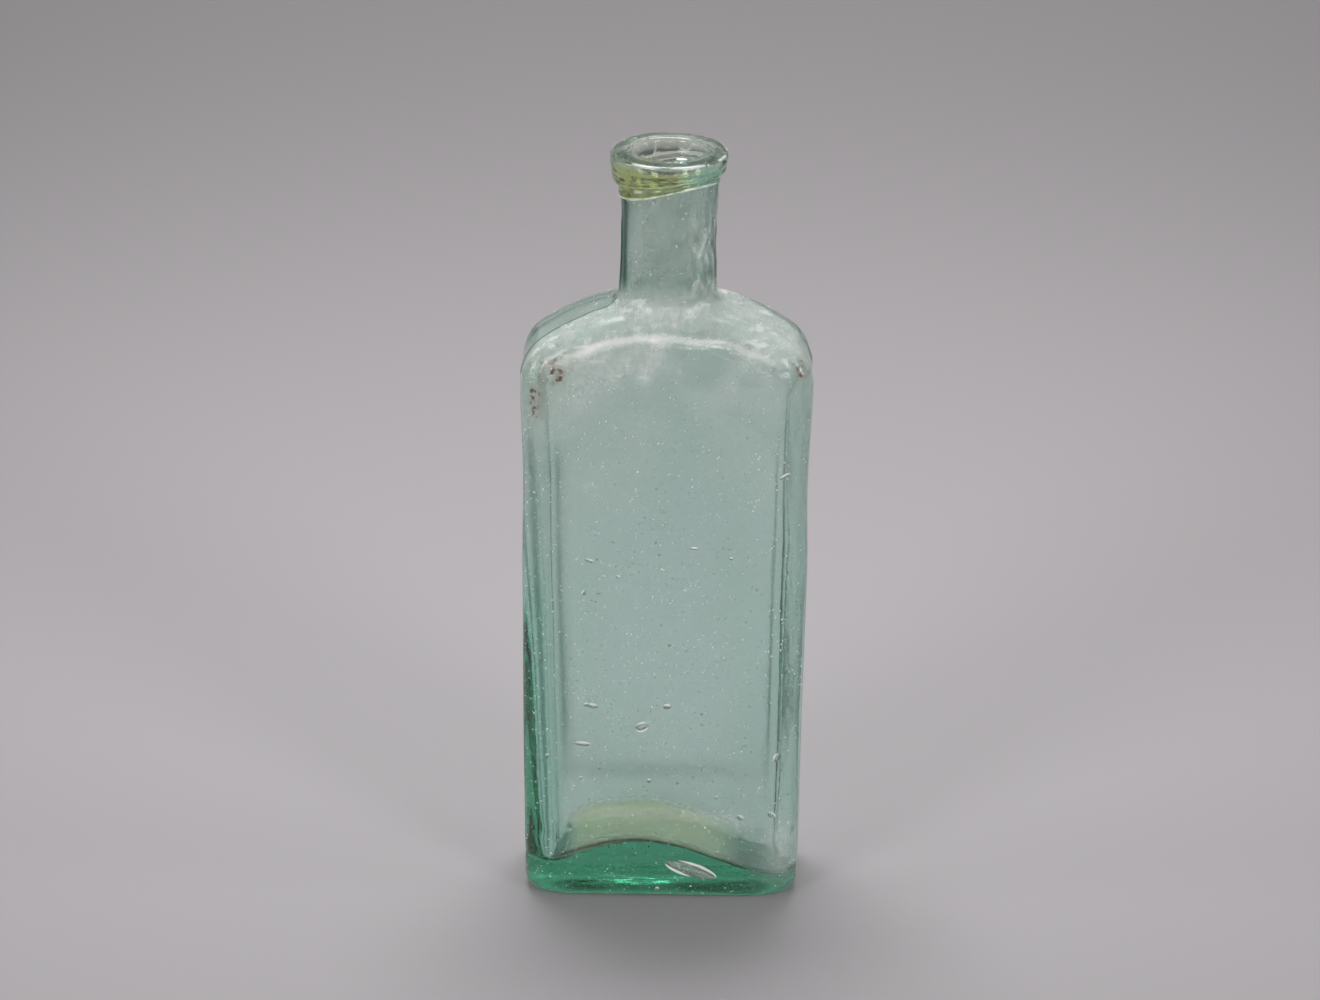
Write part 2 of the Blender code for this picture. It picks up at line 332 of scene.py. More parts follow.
@dataclass
class GlassMesh:
    """Points, faces and marks of one piece of glass, gathered before the piece is made."""

    points: list[np.ndarray] = field(default_factory=list)
    faces: list[np.ndarray] = field(default_factory=list)
    marks: dict[Mark, list[np.ndarray]] = field(default_factory=dict)
    count: int = 0

    def add(
        self,
        points: np.ndarray,
        faces: Sequence[np.ndarray],
        marks: dict[Mark, np.ndarray] | None = None,
    ) -> None:
        """Add a closed skin.

        Args:
            points: Its points.
            faces: Arrays of faces, which index these points.
            marks: The marks of its points; any that is left out is 0.
        """
        given = marks or {}
        for mark in {**self.marks, **given}:
            column = self.marks.setdefault(mark, [np.zeros(self.count)])
            column.append(given.get(mark, np.zeros(len(points))))
        self.points.append(points)
        self.faces.extend(part + self.count for part in faces)
        self.count += len(points)

    def piece(self, name: str, sharp_angle: float) -> bpy.types.Object:
        """Make the Blender object.

        Args:
            name: Name of the object.
            sharp_angle: Edges that turn by more than this, in radians, stay sharp.

        Returns:
            The new object, at the origin.
        """
        mesh = bpy.data.meshes.new(name)
        faces = [face for part in self.faces for face in part.tolist()]
        mesh.from_pydata(np.concatenate(self.points).tolist(), [], faces)
        mesh.validate()
        mesh.shade_smooth()
        mesh.set_sharp_from_angle(angle=sharp_angle)
        for mark, columns in self.marks.items():
            layer = mesh.attributes.new(mark.value, "FLOAT", "POINT")
            layer.data.foreach_set("value", np.concatenate(columns).astype(np.float32))
        piece = bpy.data.objects.new(name, mesh)
        bpy.context.scene.collection.objects.link(piece)
        return piece


def lattice_faces(rings: int, around: int, closed: bool) -> np.ndarray:
    """Four-sided faces between neighbouring rings.

    Args:
        rings: Number of rings.
        around: Points in a ring.
        closed: Whether the last ring joins the first.

    Returns:
        Array of faces.
    """
    last = rings if closed else rings - 1
    ring, step = np.meshgrid(np.arange(last), np.arange(around), indexing="ij")
    after = (ring + 1) % rings
    turn = (step + 1) % around
    corners = (
        ring * around + step,
        ring * around + turn,
        after * around + turn,
        after * around + step,
    )
    return np.stack(corners, axis=-1).reshape(-1, 4)


def volume(points: np.ndarray, faces: Sequence[np.ndarray]) -> float:
    """Signed volume of a closed skin, above zero where its faces look outward.

    Args:
        points: Its points.
        faces: Arrays of faces.

    Returns:
        The volume in cubic metres.
    """
    total = 0.0
    for part in faces:
        for corner in range(1, part.shape[1] - 1):
            a, b, c = (points[part[:, k]] for k in (0, corner, corner + 1))
            total += float(np.einsum("ij,ij->", a, np.cross(b, c))) / 6
    return total


def facing(points: np.ndarray, faces: Sequence[np.ndarray], outward: bool) -> list[np.ndarray]:
    """Turn all faces of a closed skin to look outward, or inward for a bubble.

    Args:
        points: Its points.
        faces: Arrays of faces.
        outward: The side that the faces should look to.

    Returns:
        The faces, turned where needed.
    """
    right_way = (volume(points, faces) > 0) == outward
    return list(faces) if right_way else [part[:, ::-1] for part in faces]


@dataclass(frozen=True)
class PhotoCamera:
    """Camera of the photograph, looking down at the bottle.

    Attributes:
        lens: Focal length in millimetres, on a sensor 36 mm wide.
        pitch: Degrees that it looks down.
        roll: Degrees that it is turned about its own axis.
        aim: Point in the middle of the picture.
        distance: Metres from that point.
    """

    lens: float = 92.73
    pitch: float = 23.835
    roll: float = 0.682
    aim: tuple[float, float, float] = (-1.143 * MM, 0.0, 89.525 * MM)
    distance: float = 716.705 * MM

    SENSOR_WIDTH = 36.0
    PICTURE_WIDTH = 1320
    PICTURE_HEIGHT = 1000
    NEAREST = 0.01
    FARTHEST = 50.0

    def axes(self) -> tuple[Vector, Vector, Vector]:
        """The camera's own right, up and backward directions.

        Returns:
            Three unit directions.
        """
        pitch = math.radians(self.pitch)
        roll = math.radians(self.roll)
        forward = Vector((0, math.cos(pitch), -math.sin(pitch)))
        right = Vector((1, 0, 0))
        up = right.cross(forward)
        turned_right = right * math.cos(roll) + up * math.sin(roll)
        turned_up = up * math.cos(roll) - right * math.sin(roll)
        return turned_right, turned_up, -forward

    def place(self) -> Vector:
        """Where the camera stands."""
        return Vector(self.aim) + self.axes()[2] * self.distance

    def build(self) -> bpy.types.Object:
        """Make the camera and give it to the scene.

        Returns:
            The camera object.
        """
        data = bpy.data.cameras.new("portrait_camera")
        data.lens = self.lens
        data.sensor_width = self.SENSOR_WIDTH
        data.sensor_fit = "HORIZONTAL"
        data.clip_start = self.NEAREST
        data.clip_end = self.FARTHEST
        camera = bpy.data.objects.new("portrait_camera", data)
        turn = Matrix(self.axes()).transposed().to_4x4()
        camera.matrix_world = Matrix.Translation(self.place()) @ turn
        bpy.context.scene.collection.objects.link(camera)
        bpy.context.scene.camera = camera
        return camera

    def ray(self, pixel: Pixel) -> Vector:
        """Unit direction in which the camera sees a pixel of the photograph.

        Args:
            pixel: The pixel.

        Returns:
            The direction.
        """
        focal = self.lens / self.SENSOR_WIDTH * self.PICTURE_WIDTH
        right, up, backward = self.axes()
        aside = (pixel[0] - self.PICTURE_WIDTH / 2) / focal
        rise = (self.PICTURE_HEIGHT / 2 - pixel[1]) / focal
        return (right * aside + up * rise - backward).normalized()

    def behind_front(self, pixel: Pixel, front_y: float, depth: float) -> Vector:
        """Point in the glass that shows at a pixel, seen through the flat front.

        Args:
            pixel: Pixel of the photograph.
            front_y: Where the front panel stands.
            depth: How far behind the panel's surface the point lies.

        Returns:
            The point.
        """
        way = self.ray(pixel)
        start = self.place()
        surface = start + way * ((front_y - start.y) / way.y)
        bent = Vector((way.x / GLASS_IOR, 0, way.z / GLASS_IOR))
        bent.y = math.sqrt(1 - bent.length_squared)
        return surface + bent * (depth / bent.y)


@dataclass(frozen=True)
class BottleForm:
    """Sizes of the blown body and the lip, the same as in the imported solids."""

    half_width: float = 30.2 * MM
    half_depth: float = 12.5 * MM
    edge_radius: float = 5.2 * MM
    heel_radius: float = 2.6 * MM
    heel_corner_radius: float = 5.0 * MM
    heel_corner_reach: float = 8.84 * MM
    base_draw: float = 0.4 * MM
    sink_depth: float = 0.5 * MM
    sink_height: float = 97.0 * MM
    sink_reach: float = 21.5 * MM

    crest_height: float = 135.4 * MM
    crown_radius: float = 46.0 * MM
    haunch_radius: float = 10.8 * MM
    crown_edge_height: float = 7.5 * MM

    neck_foot_radius: float = 10.2 * MM
    neck_waist_radius: float = 9.8 * MM
    neck_top_radius: float = 10.1 * MM
    neck_fillet: float = 3.0 * MM
    bore_foot_radius: float = 8.6 * MM
    bore_top_radius: float = 8.0 * MM
    bore_fillet: float = 3.2 * MM
    rim_height: float = 167.0 * MM

    panel_wall: float = 2.2 * MM
    right_wall: float = 1.4 * MM
    left_wall_top: float = 1.3 * MM
    left_wall_foot: float = 4.2 * MM
    cavity_edge_radius: float = 5.8 * MM

    floor_mean: float = 7.4 * MM
    floor_swell: float = 4.0 * MM
    floor_wave_length: float = 65.0 * MM
    floor_crest_x: float = -5.9 * MM
    floor_back_drop: float = 2.0 * MM

    band_width: float = 2.6 * MM
    push_up_slope: float = 5.0 * MM
    push_up_height: float = 0.6 * MM

    skirt_mean: float = 7.7 * MM
    skirt_left_sag: float = 1.85 * MM
    skirt_back_sag: float = 0.65 * MM
    skirt_two_lobe_sag: float = 0.45 * MM
    skirt_three_lobe_sag: float = 0.25 * MM

    @property
    def crown_centre(self) -> float:
        """Height of the centre of the crown arc."""
        return self.crest_height - self.crown_radius

    @property
    def haunch_x(self) -> float:
        """Distance of the haunch arcs' centres from the middle."""
        return self.half_width - self.haunch_radius

    @property
    def haunch_height(self) -> float:
        """Height of the haunch arcs' centres."""
        spread = self.crown_radius - self.haunch_radius
        return self.crown_centre + math.sqrt(spread**2 - self.haunch_x**2)

    def arch_height(self, x: np.ndarray, inset: np.ndarray) -> np.ndarray:
        """Height of the shoulder's front outline, drawn in by the inset.

        Args:
            x: Distances from the middle plane.
            inset: How far the outline is drawn in at each.

        Returns:
            Heights.
        """
        away = np.abs(x)
        crown = self.crown_radius - inset
        haunch = self.haunch_radius - inset
        spread = self.crown_radius - self.haunch_radius
        join = self.haunch_x * (1 + haunch / spread)
        crown_top = self.crown_centre + np.sqrt(np.maximum(crown**2 - away**2, 0))
        reach = np.minimum(away - self.haunch_x, haunch)
        haunch_top = self.haunch_height + np.sqrt(np.maximum(haunch**2 - reach**2, 0))
        return np.where(away < join, crown_top, haunch_top)

    def edge_inset(self, ring: np.ndarray, wall: float, radius: float, crown: float) -> np.ndarray:
        """How far the front outline is drawn in over each point.

        Args:
            ring: Points, their last axis x and y.
            wall: How far the skin lies inside the outer one.
            radius: Radius of the skin's edges.
            crown: How far down the edge's round reaches over the middle of the panels.

        Returns:
            Distances.
        """
        share = np.abs(ring[..., 0]) / (self.half_width - self.edge_radius)
        reach = crown + (radius - crown) * smooth(share, 0, 1)
        over = np.maximum(np.abs(ring[..., 1]) - (self.half_depth - wall - radius), 0)
        return wall + reach * (1 - np.sqrt(np.maximum(1 - (over / radius) ** 2, 0)))

    def heel_round(self, ring: np.ndarray) -> np.ndarray:
        """Radius of the heel under each point of the wall, largest at the four corners.

        Args:
            ring: Points of the wall.

        Returns:
            Radii.
        """
        from_side = np.abs(ring[..., 0]) - self.half_width + 2 * self.edge_radius
        from_panel = np.abs(ring[..., 1]) - self.half_depth + 2 * self.edge_radius
        corner = smooth(np.minimum(from_side, from_panel), 0.0, self.heel_corner_reach)
        return self.heel_radius + (self.heel_corner_radius - self.heel_radius) * corner

    def wall_draw(self, height: np.ndarray) -> np.ndarray:
        """How far the outer side wall stands in from the shoulder's width.

        Args:
            height: Heights on the wall.

        Returns:
            Distances.
        """
        taper = self.base_draw * np.maximum(1 - height / self.haunch_height, 0)
        reach = np.minimum(np.abs(height - self.sink_height) / self.sink_reach, 1)
        return taper + self.sink_depth * np.cos(math.pi / 2 * reach) ** 2

    def drawn_in(self, points: np.ndarray) -> np.ndarray:
        """Narrow points by the draw of the side walls at their height.

        Args:
            points: Points of walls without draw.

        Returns:
            The narrowed points.
        """
        drawn = points.copy()
        drawn[..., 0] *= 1 - self.wall_draw(points[..., 2]) / self.half_width
        return drawn

    def cavity_shifted(self, points: np.ndarray) -> np.ndarray:
        """Spread inner points so that each side wall gets its own thickness.

        Args:
            points: Points of a cavity with even walls.

        Returns:
            The same points, nearer to the thin wall.
        """
        x, z = points[..., 0], points[..., 2]
        drop = np.clip(1 - z / self.haunch_height, 0, 1)
        left = self.left_wall_top + (self.left_wall_foot - self.left_wall_top) * drop
        stretch = 2 * self.panel_wall - left - self.right_wall
        vault = self.crest_height - self.panel_wall - self.haunch_height
        fade = 1 - np.clip((z - self.haunch_height) / vault, 0, 1)
        reach = x / (self.half_width - self.panel_wall)
        shifted = points.copy()
        shifted[..., 0] += (left - self.right_wall + stretch * reach) / 2 * fade
        return self.drawn_in(shifted)

    def floor_height(self, x: np.ndarray, y: np.ndarray) -> np.ndarray:
        """Height of the wavy floor of the cavity.

        Args:
            x: Distances to the right.
            y: Distances to the back.

        Returns:
            Heights.
        """
        wave = np.cos(math.tau * (x - self.floor_crest_x) / self.floor_wave_length)
        back = self.floor_back_drop * y / self.half_depth
        return self.floor_mean + self.floor_swell * wave - back

    def skirt_depth(self, x: np.ndarray, y: np.ndarray) -> np.ndarray:
        """How far below the rim the lip's glass ends, in the direction of each point.

        Args:
            x: Distances to the right.
            y: Distances to the back.

        Returns:
            Depths.
        """
        angle = np.arctan2(y, x)
        return (
            self.skirt_mean
            - self.skirt_left_sag * np.cos(angle)
            + self.skirt_back_sag * np.sin(angle)
            + self.skirt_two_lobe_sag * np.cos(2 * angle)
            + self.skirt_three_lobe_sag * np.cos(3 * angle)
        )

    def neck_radius(self, share: np.ndarray) -> np.ndarray:
        """Outer radius of the neck from its foot (0) to the lip (1), slightly waisted.

        Args:
            share: How far up the neck.

        Returns:
            Radii.
        """
        low = self.neck_foot_radius - self.neck_waist_radius
        high = self.neck_top_radius - self.neck_waist_radius
        flare = np.where(share < 0.5, low * (1 - 2 * share) ** 2, high * (2 * share - 1) ** 2)
        return self.neck_waist_radius + flare


@dataclass(frozen=True)
class RingPattern:
    """How many steps one quarter of each ring has, along side, corner and panel."""

    side: int = 18
    corner: int = 12
    panel: int = 34

    @property
    def around(self) -> int:
        """Points in a whole ring."""
        return 4 * (self.side + self.corner + self.panel)

    def section(self, half_x: float, half_y: float, radius: float) -> np.ndarray:
        """Ring on a rectangle with round corners, starting on +X.

        Args:
            half_x: Half its width.
            half_y: Half its depth.
            radius: Radius of its corners.

        Returns:
            Array of x and y.
        """
        corner_x, corner_y = half_x - radius, half_y - radius
        side = np.arange(self.side) / self.side
        turn = math.pi / 2 * np.arange(self.corner) / self.corner
        panel = 1 - np.arange(self.panel + 1) / self.panel
        x = [half_x + 0 * side, corner_x + radius * np.cos(turn), corner_x * panel]
        y = [corner_y * side, corner_y + radius * np.sin(turn), half_y + 0 * panel]
        quarter = np.stack([np.concatenate(x), np.concatenate(y)], axis=-1)
        left = quarter[::-1] * (-1, 1)
        return np.concatenate([quarter[:-1], left[:-1], -quarter[:-1], -left[:-1]])

    def circle(self, radius: float) -> np.ndarray:
        """Ring on a circle, with as many points as a section."""
        turn = math.tau * np.arange(self.around) / self.around
        return radius * np.stack([np.cos(turn), np.sin(turn)], axis=-1)


def lifted(ring: np.ndarray, height: np.ndarray | float) -> np.ndarray:
    """Give a plane ring its heights."""
    tall = np.broadcast_to(height, ring.shape[:-1])
    return np.concatenate([ring, tall[..., None]], axis=-1)


def eased(steps: int) -> np.ndarray:
    """Shares from 0 to 1 that crowd together at both ends."""
    return (1 - np.cos(math.pi * np.arange(steps + 1) / steps)) / 2


@dataclass(frozen=True)
class Bubble:
    """A bubble in the front wall or the base, placed by its pixel.

    Attributes:
        pixel: Its middle in the photograph.
        length: Its long axis in millimetres.
        height: Its short axis in millimetres.
        tilt: Degrees that the long axis rises to the right.
        depth: How far its middle lies behind the front surface, in millimetres.
        thickness: Its size from front to back, in millimetres.
        pointed: 0 for an oval, 1 for a leaf with two points.
        clear: How clear it is inside its white rim, which is a painted highlight.
        arcs: Painted highlights on its rim, white arcs that show at the skin, each the degrees of
            its middle from the right end of the long axis and how many degrees it spans.
    """

    pixel: Pixel
    length: float
    height: float
    tilt: float = 0.0
    depth: float = 1.1
    thickness: float = 0.7
    pointed: float = 0.0
    clear: float = 0.85
    arcs: tuple[tuple[float, float], ...] = ((80.0, 130.0),)


BUBBLES = (
    Bubble(
        (690.5, 870.0), 11.9, 3.1, -20.0, 1.5, 1.7, 1.0, 0.55, ((65.0, 120.0), (235.0, 80.0)),
    ),
    Bubble(
        (642.0, 727.0), 2.8, 1.9, 28.0, 0.9, 0.9, 0.0, 0.9, ((75.0, 120.0), (250.0, 150.0)),
    ),
    Bubble((667.0, 707.0), 1.8, 1.0, 6.0, 0.8, 0.7),
    Bubble((582.0, 744.0), 3.8, 0.8, -4.0, 0.8, 0.6, 0.6),
    Bubble((592.0, 706.0), 2.6, 1.0, -12.0, 1.5, 0.4),
    Bubble((586.0, 705.0), 1.2, 0.7, 10.0, 1.3, 0.4),
    Bubble((589.0, 561.0), 2.1, 0.7, -22.0, 0.8, 0.5, 0.5),
    Bubble((694.0, 549.0), 2.0, 0.5, -6.0, 0.8, 0.4, 0.6),
    Bubble((785.0, 477.0), 2.8, 0.7, 32.0, 0.8, 0.5, 0.6),
    Bubble((777.0, 758.0), 2.2, 1.3, 68.0, 1.0, 0.7),
    Bubble((740.0, 818.0), 1.7, 1.0, -30.0, 1.2, 0.7),
    Bubble((649.0, 781.0), 0.9, 0.8, 0.0, 0.8, 0.6),
    Bubble((716.0, 798.0), 0.8, 0.7, 0.0, 0.8, 0.5),
    Bubble((581.0, 778.0), 0.8, 0.6, 20.0, 1.0, 0.5),
    Bubble((547.0, 756.0), 0.8, 0.8, 0.0, 1.6, 0.6),
    Bubble((618.0, 577.0), 1.0, 0.5, -20.0, 0.8, 0.4),
    Bubble((731.0, 559.0), 0.9, 0.5, -20.0, 0.9, 0.4),
    Bubble((584.0, 593.0), 1.2, 0.8, 60.0, 1.0, 0.5),
    Bubble((657.0, 889.0), 1.0, 0.7, 0.0, 1.6, 0.9),
    Bubble((771.0, 815.0), 2.0, 1.1, -35.0, 1.4, 0.7, 0.4),
)


@dataclass(frozen=True)
class BubbleShape:
    """Closed inward skins that stand for bubbles in the glass."""

    rings: int = 11
    around: int = 15
    leaf_power: float = 0.8

    def ball(self, pointed: float = 0.0) -> tuple[np.ndarray, list[np.ndarray]]:
        """Unit bubble, its long axis on X.

        Args:
            pointed: 0 for a ball, 1 for a leaf that ends in two points.

        Returns:
            Points and faces.
        """
        turn = math.pi * (np.arange(self.rings) + 0.5) / self.rings
        spin = math.tau * np.arange(self.around) / self.around
        belly = np.sin(turn) ** (1 + self.leaf_power * pointed)
        x = np.cos(turn)[:, None] + 0 * spin
        y = belly[:, None] * np.cos(spin)
        z = belly[:, None] * np.sin(spin)
        points = np.stack([x, y, z], axis=-1).reshape(-1, 3)
        ends = np.array([[1.0, 0, 0], [-1.0, 0, 0]])
        points = np.concatenate([points, ends])
        quads = lattice_faces(self.rings, self.around, closed=False)
        step = np.arange(self.around)
        after = (step + 1) % self.around
        first = len(points) - 2
        last = (self.rings - 1) * self.around
        near = np.stack([after, step, first + 0 * step], axis=-1)
        far = np.stack([last + step, last + after, first + 1 + 0 * step], axis=-1)
        return points, [quads, near, far]

    def arc(
        self, bubble: Bubble, middle: float, span: float, width: float
    ) -> tuple[np.ndarray, list[np.ndarray]]:
        """Thin white arc along a bubble's rim, around the bubble's own middle: a painted highlight.

        Args:
            bubble: The bubble.
            middle: Degrees of the arc's middle, from the right end of the long axis.
            span: Degrees that it spans.
            width: Its greatest width.

        Returns:
            Points and outward faces.
        """
        points, faces = self.ball(pointed=1.0)
        angle = np.radians(middle + points[:, 0] * span / 2)
        out = points[:, 2] * width / 2
        aside = (bubble.length / 2 * MM + out) * np.cos(angle)
        rise = (bubble.height / 2 * MM + out) * np.sin(angle)
        bent = np.stack([aside, points[:, 1] * width / 2, rise], axis=-1)
        lean = np.array(Matrix.Rotation(-math.radians(bubble.tilt), 3, "Y"))
        placed = bent @ lean.T
        return placed, facing(placed, faces, outward=True)

    def placed(
        self, centre: Sequence[float], axes: Sequence[float], tilt: float, pointed: float
    ) -> tuple[np.ndarray, list[np.ndarray]]:
        """A bubble at its place.

        Args:
            centre: Its middle.
            axes: Its half sizes along its length, its depth and its height.
            tilt: Radians that its length rises to the right.
            pointed: How far its ends are drawn to points.

        Returns:
            Points and inward faces.
        """
        points, faces = self.ball(pointed)
        sized = points * np.array(axes)
        lean = np.array(Matrix.Rotation(-tilt, 3, "Y"))
        placed = sized @ lean.T + np.array(centre)
        return placed, facing(placed, faces, outward=False)


NECK = Band(rise=(136, 144))
HEEL_FREE = (0.6, 5)
INSIDE_FLOOR = (14, 20)

OUTSIDE_RIPPLES = (
    Ripple(WaveField(24, 11, (1, 1, 1.6)), Patch(0.16, {Along.Z: Band(HEEL_FREE)}), cut_in=True),
    Ripple(WaveField(7, 12, (1, 1, 1.8)), Patch(0.035, {Along.Z: Band(HEEL_FREE)}), cut_in=True),
    Ripple(  # the vault of the shoulder, between the haunches
        WaveField(8.5, 13),
        Patch(0.13, {Along.Z: Band((112, 122), (138, 144)), Along.X: Band((-29, -24), (24, 29))}),
    ),
    Ripple(  # both ends of the heel
        WaveField(3.4, 14),
        Patch(0.22, {Along.Z: Band(HEEL_FREE, (8, 15)), Along.ASIDE: Band((17, 26))}),
        cut_in=True,
    ),
    Ripple(  # round the base
        WaveField(6.0, 17), Patch(0.16, {Along.Z: Band(HEEL_FREE, (3, 9))}), cut_in=True
    ),
    Ripple(  # the back of the base
        WaveField(3.0, 19, (1.6, 1, 1)),
        Patch(0.30, {Along.Z: Band((0.3, 1.2), (3, 9)), Along.Y: Band((5, 9))}),
        cut_in=True,
    ),
    Ripple(  # crinkles at the right of the neck
        WaveField(2.0, 15, (1, 1, 2.6)), Patch(0.24, {Along.Z: NECK, Along.X: Band((3.5, 8.5))})
    ),
    Ripple(WaveField(9, 16, (1, 1, 2)), Patch(0.07, {Along.Z: NECK})),
)

# The push-up under the base is wavy, and the band that rests on the table isn't
UNDERSIDE_RIPPLES = (
    Ripple(WaveField(5.5, 18), Patch(0.14, {Along.Z: Band((0.05, 0.5))})),
)

INSIDE_RIPPLES = (
    Ripple(WaveField(19, 21, (1, 1, 3)), Patch(0.06)),
    Ripple(WaveField(19, 21, (1, 1, 3)), Patch(0.14, {Along.Z: Band(INSIDE_FLOOR)})),
    Ripple(WaveField(6, 22, (1, 1, 4)), Patch(0.035, {Along.Z: Band(INSIDE_FLOOR)})),
    Ripple(WaveField(8, 23), Patch(0.22, {Along.Z: Band((108, 120), (136, 142))})),
    Ripple(WaveField(7, 24), Patch(0.10, {Along.Z: Band(fall=INSIDE_FLOOR)})),
    Ripple(
        WaveField(3.2, 25, (1, 1, 2.4)), Patch(0.28, {Along.Z: NECK, Along.X: Band((2, 7))})
    ),
)

# Painted highlight: the white line where the top of the front panel turns into the vault, the
# line itself and the fainter marks above it. It is broken into short pieces, and weaker at the
# right.
ARCH_HIGHLIGHT_LINE = Bell(0.92, 0.036)
MARKS_ABOVE_HIGHLIGHT = Bell(0.78, 0.080)
ON_VAULT = Band((111, 117))
LINE_REACH = Band((-27, -17), (19, 27))
LINE_RIGHT = Band((6, 16), (19, 27))
STROKE = Band((0.05, 0.75))
PAINTED_ARCH_HIGHLIGHT = tuple(
    Patch(
        strength,
        {Along.FRONT_ROUND: line, Along.Z: ON_VAULT, Along.X: reach, Along.BREAKS_IN_HIGHLIGHT: highlight_breaks},
    )
    for strength, line, reach, highlight_breaks in (
        (0.406, ARCH_HIGHLIGHT_LINE, LINE_REACH, Band()),
        (0.174, ARCH_HIGHLIGHT_LINE, LINE_REACH, STROKE),
        (-0.1624, ARCH_HIGHLIGHT_LINE, LINE_RIGHT, Band()),
        (-0.0696, ARCH_HIGHLIGHT_LINE, LINE_RIGHT, STROKE),
        (0.22, MARKS_ABOVE_HIGHLIGHT, LINE_REACH, STROKE),
    )
)

CRINKLED = {
    Along.Z: Band((136, 141), (152, 157)),
    Along.Y: Band(fall=(-1.5, 1.5)),
    Along.X: Band((2.5, 6.5)),
}
FRONT_OF_NECK = {Along.Z: Band((136, 141)), Along.Y: Band(fall=(-1.5, 1.5))}

OUTSIDE_MARKS = {
    Mark.HAZE_AND_HIGHLIGHT: (
        # dull film, which thickens toward the shoulder and hangs down at both sides
        Patch(0.015),
        Patch(0.10, {Along.HUNG: Band((78, 112))}),
        Patch(0.10, {Along.HUNG: Band((117, 127)), Along.Z: Band(fall=(134, 143))}, (Along.CLEAR,)),
        Patch(
            0.15,
            {Along.HUNG: Band((117, 127)), Along.Z: Band((121, 129), (134, 143))},
            (Along.CLEAR,),
        ),
        # painted highlight round the front of the neck's foot
        Patch(0.07, {Along.Z: Band((133, 135.5), (137.5, 141)), Along.Y: Band(fall=(-7, -2))}),
        # white line above the crust, and the hazy right end of the foot
        Patch(
            0.20,
            {
                Along.BOW: Bell(21.4, 1.5),
                Along.Y: Band(fall=(-11, -9)),
                Along.X: Band((-25, -19), (15, 21)),
            },
        ),
        Patch(0.24, spot((26, -12, 12.5), (4, 6, 8))),
        # painted highlight: white outline along the back edge of the vault
        Patch(0.44, {Along.BACK_ROUND: Bell(0.45, 0.40), Along.Z: Band((112, 118))}),
        # painted highlight: the white line over the top of the front panel, and the marks above it
        *PAINTED_ARCH_HIGHLIGHT,
        # painted highlights on the crinkles at the right of the neck
        Patch(0.30, {**CRINKLED, Along.FLECKS: Band(fall=(-0.60, -0.12))}),
    ),
    Mark.CORD_AND_SHADE: (
        # painted shade: dark lines down both sides of the neck, dark flecks in its crinkles, and a
        # darker patch at the front of the neck's foot
        Patch(1.0, {**FRONT_OF_NECK, Along.X: Band(fall=(-8.8, -8.1))}),
        Patch(0.7, {**FRONT_OF_NECK, Along.X: Band((9.2, 9.6))}),
        Patch(0.42, {**CRINKLED, Along.FLECKS: Band((0.05, 0.50))}),
        Patch(0.20, spot((1, -11, 141.5), (9, 6, 5))),
        # painted shade: dark outline of the two front corners
        Patch(
            0.85,
            {
                Along.LIMB: Band(fall=(0.15, 0.55)),
                Along.Y: Band((-10.4, -9.1), (-7.3, -6.0)),
                Along.Z: Band((4, 9), (104, 116)),
            },
        ),
    ),
}

# Scuffs on the foot, most at the back, where they are stronger than any other mark
SCUFFS = (
    Patch(0.45, {Along.Z: Band(fall=(1.0, 3.4))}),
    Patch(0.75, {Along.Z: Band(fall=(1.0, 3.4)), Along.Y: Band((1, 6))}),
)
MOST_SCUFF = 1.2

CORD_HEIGHTS = Band((10, 35), (90, 104))
# painted shade: dark line along the front corner of the cavity's floor
CORNER_SHADE_LINE = {Along.Y: Band(fall=(-9.0, -8.2)), Along.ABOVE: Bell(0.75, 0.42)}

INSIDE_MARKS = {
    Mark.HAZE_AND_HIGHLIGHT: (
        Patch(0.03),
        Patch(0.06, {Along.HUNG: Band((76, 112))}),
        Patch(0.08, {Along.HUNG: Band((112, 127)), Along.Z: Band(fall=(136, 150))}, (Along.CLEAR,)),
        Patch(
            0.20,
            {Along.HUNG: Band((112, 127)), Along.Z: Band((122, 131), (136, 150))},
            (Along.CLEAR,),
        ),
        # neck, most at the right
        Patch(0.05, {Along.Z: Band((134, 140))}),
        Patch(0.10, {Along.Z: Band((134, 142)), Along.X: Band((2, 7))}),
        # right end of the floor, and the foot of the back panel
        Patch(0.16, {Along.ABOVE: Band(fall=(1, 8)), Along.X: Band((19, 25))}),
        Patch(
            0.42,
            {
                Along.Y: Band((6, 9)),
                Along.X: Band((-26, -19), (19, 26)),
                Along.ABOVE: Band((-1.2, 1.0), (2.6, 4.8)),
            },
        ),
    ),
    Mark.CREAM: (
        Patch(1.0, {Along.ABOVE: Band(fall=(1.0, 3.2)), Along.X: Band((-22, -17), (8, 21))}),
    ),
    # painted shade along the front corner of the floor, weaker at the right
    Mark.CORNER_SHADE: (
        Patch(1.0, {**CORNER_SHADE_LINE, Along.X: Band((-29, -22))}),
        Patch(-0.5, {**CORNER_SHADE_LINE, Along.X: Band((14, 24))}),
    ),
    Mark.CORD_AND_SHADE: tuple(
        Patch(
            strength,
            {way: line, Along.Y: Band((3, 6)), Along.ABOVE: Band((4, 14)), Along.Z: CORD_HEIGHTS},
        )
        for strength, way, line in (
            (0.85, Along.LEFT_CORD, Bell(0, 1.8)),
            (1.0, Along.RIGHT_CORD, Bell(0, 0.62)),
        )
    )
    + (Patch(0.42, spot((-3, 11, 20), (19, 5, 2.2))),),
}


@dataclass(frozen=True)
class Stain:
    """Rust-brown stain in the glass below a corner of the shoulder.

    Attributes:
        pixel: Its middle in the photograph.
        size: Its width and height in millimetres.
        strength: How dark it is.
    """

    pixel: Pixel
    size: tuple[float, float]
    strength: float

    THROUGH = 2.6


